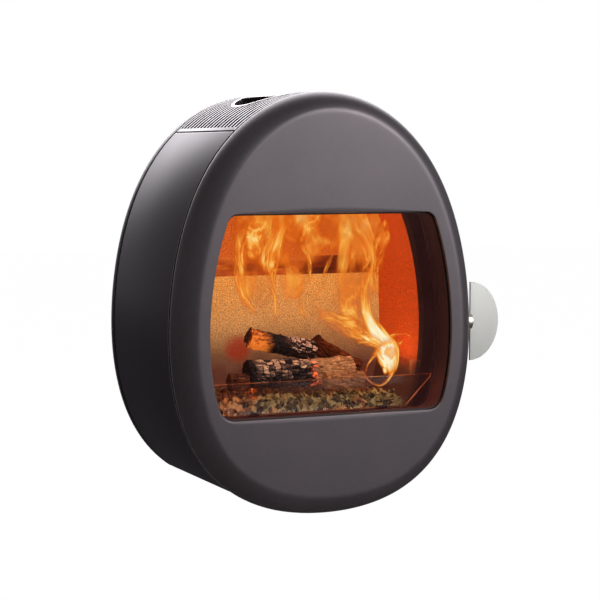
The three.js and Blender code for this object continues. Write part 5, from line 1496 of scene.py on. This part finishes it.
class STOVE_OT_bed(bpy.types.Operator):
    """Build the bed of ash and mineral chips that the logs lie on"""
    bl_idname = "stove.bed"
    bl_label = "Ash bed"

    def execute(self, context):
        chosen = settings("stove_fire")
        bed = heap("ash_heap", "ash_bed")
        stone = finish(mineral_chips)
        chip_tree().made_on(bed, Chips=chosen.chips, Size=chosen.chip_size / 2, Seed=4, Material=stone)
        dress(bed, "body", mineral_chips, "ash_bed", slot="ash")
        return {"FINISHED"}


# ---------------------------------------------------------------- flames
class Flame(Finish):
    """A finish for burning gas, with its flow coordinates and the streaks that run along them."""

    def __init__(self, name, seed, lanes, tall):
        black = (*BLACK, 1)
        super().__init__(name, Specular_IOR_Level=0.0, Roughness=1.0, Emission_Strength=1.0, Base_Color=black)
        flow = self.path_of("flow")
        across, self.along, _ = self.parts(flow)
        self.depth = 1 - abs(across * 2 - 1)
        self.power = Signal(self, self.node("ShaderNodeAttribute", {"attribute_name": "power"}).outputs["Fac"])
        moved = (seed, seed * 0.7, 0.0)
        run = self.node("ShaderNodeMapping", None, flow, moved, Scale=(lanes, tall, 1.0)).outputs[0]
        self.streak = self.noise(1.0, 3.0, 0.5, 0.9, source=run)
        self.thread = (1 - abs(self.noise(1.6, 2.0, 0.4, 1.2, source=run) * 2 - 1)) ** 6
        self.body = self.noise(16.0, 3.0, 0.5, 0.8, source=self.stretched((1.0, 1.0, 0.6)))

    def finished(self, shape):
        chosen = settings("stove_fire")
        rim, core = tuple(chosen.flame_edge), tuple(chosen.flame_core)
        middle = stops((0.5, 247, 164, 62), (0.76, 253, 208, 120))
        rows = [(0.0, shade(150, 44, 6)), (0.26, rim), *middle, (1.0, core)]
        burning = self.ramp((shape * 0.58).clamped(), rows)
        self.set(Emission_Color=burning, Alpha=shape.clamped())
        return self.see_through()


def tongue_fire(seed):
    """A tongue of flame: streaks along its flow, ragged rims and a fading tip."""
    f = Flame(f"flame tongue {seed}", seed * 3.7, 2.6, 3.0)
    spread = f.depth + (f.streak - 0.5) * 1.1
    ends = f.along.step(0.0, 0.12) * (1 - f.along.step(0.66, 1.0))
    solid = f.power.step(1.1, 1.9) * 0.5
    lively = (f.streak.step(0.3, 0.66) * 0.75).above(solid) + f.body * 0.5 + f.thread * 0.35
    return f.finished(spread.step(0.05, 0.7) * lively * ends * f.power)


def veil_fire(seed, lanes):
    """A thin sheet of flame with streaks rising through it."""
    f = Flame(f"flame veil {seed}", seed * 2.3, lanes, 1.7)
    sides = (f.depth + (f.streak - 0.5) * 0.7).step(0.0, 0.3)
    rise = (f.along + (f.streak - 0.5) * 0.5).step(0.02, 0.32)
    wisps = f.streak.step(0.34, 0.68) * 0.55 + f.body.step(0.35, 0.7) * 0.22 + f.thread * 0.14 + 0.05
    return f.finished(wisps * sides * rise * f.power)


def smooth_path(values, count):
    """A smooth run of numbers through the given ones."""
    values = np.asarray(values, float)
    knots = np.linspace(0, 1, len(values))
    fine = np.linspace(0, 1, count)
    slope = np.gradient(values, knots)
    index = np.clip(np.searchsorted(knots, fine, side="right") - 1, 0, len(knots) - 2)
    step = knots[index + 1] - knots[index]
    u = (fine - knots[index]) / step
    start, end = values[index], values[index + 1]
    rise, fall = slope[index] * step, slope[index + 1] * step
    return (
        start * (1 + 2 * u) * (1 - u) ** 2 + rise * u * (1 - u) ** 2
        + end * u * u * (3 - 2 * u) + fall * u * u * (u - 1)
    )


def ribbon(name, path, depth, lean, steps=64, lanes=17):
    """A flame through (column, row, half width, power) places in the picture, leaning back as it rises."""
    column, row, half, power = (smooth_path(values, steps) for values in zip(*path))
    half = np.maximum(half, SLIMMEST_FLAME)
    ahead = np.stack([np.gradient(column), np.gradient(row)], 1)
    ahead /= np.linalg.norm(ahead, axis=1)[:, None] + 1e-9
    side = np.stack([-ahead[:, 1], ahead[:, 0]], 1)
    vertices, faces, flow = [], [], []
    for i in range(steps):
        share = i / (steps - 1)
        for k in range(lanes):
            lane = -1 + 2 * k / (lanes - 1)
            spot = (column[i] + side[i, 0] * half[i] * lane, row[i] + side[i, 1] * half[i] * lane)
            bulge = FLAME_BULGE * (1 - lane * lane) * (0.6 + 0.4 * math.sin(share * 9 + depth))
            p = seen_at(*spot, depth + lean * share)
            vertices.append(place(p.x, p.y - bulge, p.z))
            flow.append((k / (lanes - 1), share))
    for i in range(steps - 1):
        for k in range(lanes - 1):
            a = i * lanes + k
            faces.append((a, a + 1, a + lanes + 1, a + lanes))
    obj = finished_object(name, plain_mesh(name, vertices, faces))
    layer = obj.data.uv_layers.new(name="flow")
    for loop in obj.data.loops:
        layer.data[loop.index].uv = flow[loop.vertex_index]
    strength = obj.data.attributes.new("power", "FLOAT", "POINT")
    strength.data.foreach_set("value", np.repeat(np.clip(power, 0, 2), lanes))
    return obj


# Each flame: its depth, how far its tip leans back, then (column, row, half width, power) from the root up.
TONGUES = {
    "main flame": (
        96, 26, (388, 380, 2.5, 0.8), (390, 370, 7, 1.8), (389, 358, 12, 2.4), (386, 347, 15, 2.6),
        (379, 336, 14, 2.2), (372, 324, 11, 1.6), (367, 312, 10, 1.2), (365, 298, 9, 1.0), (365, 284, 9, 0.9),
        (367, 270, 10, 0.9), (367, 257, 12, 0.9), (363, 244, 14, 0.9), (356, 232, 16, 0.8), (346, 219, 18, 0.6),
        (336, 206, 18, 0.4)),
    "flick at its right": (
        94, 16, (386, 358, 6, 0.8), (392, 350, 7, 1.2), (398, 343, 4, 0.9), (403, 337, 1.5, 0.3)),
    "sheet over the rear log": (
        100, 20, (385, 348, 5, 0.9), (370, 340, 10, 1.3), (354, 331, 13, 1.1), (337, 322, 12, 0.9),
        (318, 313, 9, 0.6), (306, 307, 5, 0.2)),
    "haze behind the main flame": (
        112, 20, (366, 340, 12, 0.4), (354, 322, 17, 0.8), (349, 304, 18, 0.9), (354, 284, 15, 0.7),
        (362, 266, 12, 0.3)),
    "left flame": (
        150, 20, (273, 327, 1.0, 0.5), (275, 313, 1.6, 0.8), (275, 302, 2.0, 0.8), (273, 290, 3.0, 1.0),
        (271, 278, 6, 1.1), (269, 267, 12, 1.5), (270, 256, 12, 1.3), (273, 243, 11, 1.1), (278, 229, 10, 0.9),
        (286, 213, 9, 0.6), (292, 200, 8, 0.3)),
    "far left flame": (
        160, 14, (257, 318, 1.6, 0.3), (251, 308, 3.6, 0.7), (243, 295, 6, 0.9), (239, 281, 8, 1.0),
        (237, 266, 8, 1.0), (237, 251, 9, 0.9), (240, 234, 11, 0.8), (245, 217, 12, 0.6), (250, 202, 12, 0.3)),
    "left crown": (
        158, 10, (252, 264, 9, 0.3), (254, 248, 15, 1.0), (255, 234, 16, 1.3), (259, 220, 15, 0.9),
        (264, 206, 12, 0.4)),
    "low wisp": (
        170, 12, (306, 321, 0.7, 0.2), (300.5, 309, 2.0, 0.8), (299, 298, 3.2, 0.8), (297, 286, 6, 0.6),
        (295, 274, 8, 0.2)),
    "high wisp": (
        172, 10, (307, 286, 3, 0.2), (310, 273, 3.4, 0.9), (308, 261, 3.4, 0.9), (302, 248, 5, 0.7),
        (298, 232, 7, 0.3)),
    "loose thread": (
        172, 8, (311, 304, 1.2, 0.2), (316, 296, 1.6, 0.6), (322, 285, 1.4, 0.4), (326, 274, 1.2, 0.2)),
    "right flame": (
        128, 30, (376, 300, 4, 0.2), (374, 280, 7, 0.8), (375, 262, 8, 0.9), (380, 245, 8, 0.9),
        (387, 229, 8, 0.8), (394, 212, 7, 0.4)),
    "bright thread": (
        132, 8, (358, 270, 1.4, 0.3), (364, 266, 2.0, 1.0), (369, 258, 2.4, 1.0), (369, 249, 3, 1.0),
        (364, 239, 4, 1.0), (356, 229, 7, 0.9), (346, 221, 9, 0.6), (334, 214, 9, 0.3)),
    "root of the main flame": (
        100, 2, (384, 376, 3, 0.6), (386, 366, 9, 1.8), (385, 354, 13, 2.4), (384, 344, 10, 1.6),
        (382, 336, 6, 0.6)),
    "curl to the right": (
        104, 4, (386, 339, 2.2, 0.9), (397, 334, 1.8, 0.9), (407, 334.5, 1.3, 0.7), (416, 340, 1.1, 0.3)),
    "curl under the root": (
        88, 2, (361, 366, 0.8, 0.2), (365, 377, 1.1, 0.6), (372, 383.5, 1.4, 0.9), (380, 385, 1.6, 1.0),
        (387, 380, 2.4, 1.2), (391, 370, 4, 1.4), (392, 358, 5, 0.9)),
    "thread by the root": (
        90, 2, (364, 374, 1.0, 0.2), (368, 364, 1.6, 0.7), (374, 354, 2.8, 1.0), (380, 343, 5, 0.9)),
    "back wisp, left": (
        180, 6, (322, 280, 1.6, 0.2), (327, 266, 2.6, 0.7), (331, 252, 3.4, 0.7), (336, 238, 5, 0.5),
        (340, 222, 7, 0.3)),
    "back wisp, right": (
        176, 8, (338, 284, 2, 0.2), (345, 268, 3.4, 0.8), (351, 254, 5, 0.9), (354, 240, 7, 0.6),
        (352, 224, 9, 0.3)),
    "middle crown": (
        150, 10, (300, 246, 6, 0.2), (306, 232, 10, 0.8), (312, 218, 12, 0.9), (318, 202, 12, 0.5)),
    "right crown": (
        140, 12, (376, 250, 6, 0.2), (384, 236, 9, 0.8), (390, 222, 10, 0.8), (396, 206, 10, 0.5)),
}
VEILS = {
    "under the whole top": (
        205, 8, (318, 276, 74, 0.0), (318, 262, 76, 0.6), (316, 244, 76, 1.0), (314, 222, 78, 1.3),
        (314, 202, 80, 1.4)),
    "round the left flame": (
        165, 14, (252, 322, 5, 0.4), (253, 308, 12, 0.8), (256, 292, 20, 1.0), (257, 274, 23, 1.1),
        (258, 252, 26, 1.2), (260, 228, 28, 1.3), (262, 204, 30, 1.2)),
    "between the flames": (
        168, 6, (282, 302, 6, 0.6), (287, 292, 14, 0.8), (292, 281, 18, 0.9), (294, 268, 18, 0.8),
        (294, 250, 16, 0.4)),
    "round the main flame": (
        140, 30, (356, 330, 14, 0.4), (352, 306, 20, 0.8), (354, 282, 23, 1.0), (360, 258, 26, 1.2),
        (364, 232, 29, 1.3), (364, 204, 31, 1.2)),
    "upper haze": (
        190, 8, (306, 250, 40, 0.2), (306, 236, 42, 0.8), (306, 218, 44, 1.1), (306, 200, 46, 1.0)),
}
# Lamps in the fire: column, row, depth and share of the glow.
FIRE_LIGHTS = {
    "main flame": (384, 350, 112, 1.0), "left flame": (268, 262, 140, 0.5), "crown": (345, 240, 130, 0.6),
}
FIRE_COLOUR, LAMP_SIZE = (1.0, 0.42, 0.14), 0.03
FLAME_BULGE, SLIMMEST_FLAME = 7.0, 0.5


def new_lamp(name, kind, location, power):
    data = bpy.data.lights.new(name, kind)
    data.energy = power
    lamp = bpy.data.objects.new(name, data)
    bpy.context.scene.collection.objects.link(lamp)
    lamp.location = location
    lamp.visible_camera = False
    return lamp


class STOVE_OT_flames(bpy.types.Operator):
    """Build the flames over the logs and the light that they throw"""
    bl_idname = "stove.flames"
    bl_label = "Flames"

    def execute(self, context):
        for number, (depth, lean, *path) in enumerate(TONGUES.values(), 1):
            dress(ribbon(f"flame_tongue_{number}", path, depth, lean), "body", (tongue_fire, number % 3))
        for number, (depth, lean, *path) in enumerate(VEILS.values(), 1):
            lanes = max(2.0, max(half for _, _, half, _ in path) / 15)
            dress(ribbon(f"flame_veil_{number}", path, depth, lean), "body", (veil_fire, number, lanes))
        glow = settings("stove_fire").glow
        for number, (column, row, depth, share) in enumerate(FIRE_LIGHTS.values(), 1):
            lamp = new_lamp(f"fire glow {number}", "POINT", place(*seen_at(column, row, depth)), glow * share)
            lamp.data.shadow_soft_size, lamp.data.color = LAMP_SIZE, FIRE_COLOUR
        return {"FINISHED"}


# ---------------------------------------------------------------- back and underside
class STOVE_OT_back(bpy.types.Operator):
    """Finish the wall bracket, hangers, heat shield and air intake"""
    bl_idname = "stove.back"
    bl_label = "Back and air intake"

    def execute(self, context):
        for node, body, kind, slot in (
            ("wall_bracket", "body", "black enamel", "black_enamel"),
            ("hanger_upper", "body", "black enamel", "black_enamel"),
            ("hanger_lower", "body", "black enamel", "black_enamel"),
            ("rear_heat_shield", "body", "plain steel", "plain_steel"),
            ("air_slide", "air_control", "black iron", "iron"),
            ("air_lever", "air_control", "plain steel", "plain_steel"),
            ("air_knob", "air_control", "black enamel", "black_enamel"),
        ):
            refit(node, body, kind, slot, 0.4)
        profile = [
            (SPIGOT_BORE, SPIGOT_FRONT), (SPIGOT_RADIUS, SPIGOT_FRONT), (SPIGOT_RADIUS, SPIGOT_BACK - 0.7),
            (SPIGOT_RADIUS - 0.5, SPIGOT_BACK), (SPIGOT_BORE + 0.5, SPIGOT_BACK), (SPIGOT_BORE, SPIGOT_BACK - 0.5),
        ]
        spigot = turned("air_inlet_tube", profile, (0, 0, SPIGOT_Z), "y")
        dress(spigot, "body", "plain steel", "air_inlet_spigot", slot="plain_steel")
        return {"FINISHED"}


# ---------------------------------------------------------------- studio
def floor_white():
    base = tuple(settings("stove_studio").floor)
    f = Finish("studio floor", Specular_IOR_Level=0.0)
    soft = f.noise(3.0, 2.0)
    path = f.node("ShaderNodeLightPath")
    seen, mirrored = Signal(f, path.outputs["Is Camera Ray"]), Signal(f, path.outputs["Is Glossy Ray"])
    pale = f.ramp(soft, [(0.0, tuple(c * 0.985 for c in base)), (1.0, base)])
    f.set(Base_Color=f.blend(mirrored, pale, shade(90, 88, 90)), Roughness=0.9 + soft * 0.05)
    glow = f.node("ShaderNodeEmission", None, Color=WHITE, Strength=1.08)
    mixed = f.node("ShaderNodeMixShader", None, seen * 0.88, f.shader.outputs[0], glow.outputs[0])
    f.tree.links.new(mixed.outputs[0], f.output.inputs[0])
    return f.material


def surroundings(world):
    """White behind the stove as the camera sees it; for gloss, a dark room with two bright banks."""
    chosen = settings("stove_studio")
    world.use_nodes = True
    w = Wiring(world.node_tree)
    output = w.tree.nodes.new("ShaderNodeOutputWorld")
    path = w.node("ShaderNodeLightPath")
    x, y, z = w.parts(w.node("ShaderNodeTexCoord").outputs["Generated"])

    def bank(way, spread):
        return (x * way.x + y * way.y + z * way.z).step(*spread)

    back, front = bank(BACK_BANK, BACK_SPREAD), bank(FRONT_BANK, FRONT_SPREAD)
    gloss = back * chosen.back_bank + front * chosen.front_bank + ROOM_GLOSS
    rays = (Signal(w, path.outputs[f"Is {kind} Ray"]) for kind in ("Glossy", "Camera", "Transmission"))
    glossy, camera, through = rays
    plain = glossy * gloss + (1 - glossy) * chosen.ambient
    white = camera.above(through)
    tint = w.blend(white, ROOM_TINT, WHITE)
    made = w.node("ShaderNodeBackground", None, Color=tint, Strength=white + (1 - white) * plain)
    w.tree.links.new(made.outputs[0], output.inputs[0])


class STOVE_OT_studio(bpy.types.Operator):
    """Build the floor, the soft lights, the white surroundings and the camera"""
    bl_idname = "stove.studio"
    bl_label = "Studio"

    def execute(self, context):
        chosen = settings("stove_studio")
        scene = context.scene
        level = (UNDERSIDE - BRACKET_Z) / 1000 - chosen.floor_drop
        corners = [(x * FLOOR_REACH, y * FLOOR_REACH, level) for x, y in ((-1, -1), (1, -1), (1, 1), (-1, 1))]
        floor = finished_object("floor", plain_mesh("floor", corners, [(0, 1, 2, 3)]), False)
        floor.data.materials.append(finish(floor_white))
        self.softbox("key softbox", KEY_PLACE, KEY_WIDTH, chosen.key)
        self.softbox("fill softbox", FILL_PLACE, FILL_WIDTH, chosen.fill)
        scene.world = scene.world or bpy.data.worlds.new("surroundings")
        surroundings(scene.world)
        self.camera(scene)
        scene.view_settings.view_transform = "Standard"
        return {"FINISHED"}

    def softbox(self, name, location, width, power):
        lamp = new_lamp(name, "AREA", location, power)
        lamp.data.shape, lamp.data.size = "DISK", width
        lamp.rotation_euler = (LIGHTS_AIM - Vector(location)).to_track_quat("-Z", "Y").to_euler()

    def camera(self, scene):
        data = bpy.data.cameras.new("view")
        data.lens, data.sensor_width, data.sensor_fit = CAMERA_LENS, CAMERA_SENSOR, "AUTO"
        view = bpy.data.objects.new("view", data)
        scene.collection.objects.link(view)
        view.location = place(*CAMERA_PLACE)
        view.rotation_euler = sight_axes()[0].to_track_quat("-Z", "Y").to_euler()
        scene.camera = view


# ---------------------------------------------------------------- panel and registration
OPERATORS = (
    STOVE_OT_casing, STOVE_OT_slotted_top, STOVE_OT_door, STOVE_OT_glazing, STOVE_OT_handle, STOVE_OT_hinges,
    STOVE_OT_firebox, STOVE_OT_retainer, STOVE_OT_logs, STOVE_OT_bed, STOVE_OT_flames, STOVE_OT_back,
    STOVE_OT_studio,
)
GROUPS = {
    "stove_casing": StoveCasingSettings, "stove_door": StoveDoorSettings, "stove_fire": StoveFireSettings,
    "stove_studio": StoveStudioSettings,
}


class STOVE_PT_panel(bpy.types.Panel):
    """Lists the stove's settings and the steps that build it"""
    bl_label = "Stove"
    bl_idname = "STOVE_PT_panel"
    bl_space_type = "VIEW_3D"
    bl_region_type = "UI"
    bl_category = "Stove"

    def draw(self, context):
        for name, group in GROUPS.items():
            box = self.layout.box()
            for key in group.__annotations__:
                box.prop(getattr(context.scene, name), key)
        for operator in OPERATORS:
            self.layout.operator(operator.bl_idname)


def register():
    for kind in (*GROUPS.values(), *OPERATORS, STOVE_PT_panel):
        bpy.utils.register_class(kind)
    for name, group in GROUPS.items():
        setattr(bpy.types.Scene, name, bpy.props.PointerProperty(type=group))


def unregister():
    for name in GROUPS:
        delattr(bpy.types.Scene, name)
    for kind in (STOVE_PT_panel, *reversed(OPERATORS), *reversed(GROUPS.values())):
        bpy.utils.unregister_class(kind)


def main():
    register()
    for operator in OPERATORS:
        group, action = operator.bl_idname.split(".")
        getattr(getattr(bpy.ops, group), action)()


if __name__ == "__main__":
    main()
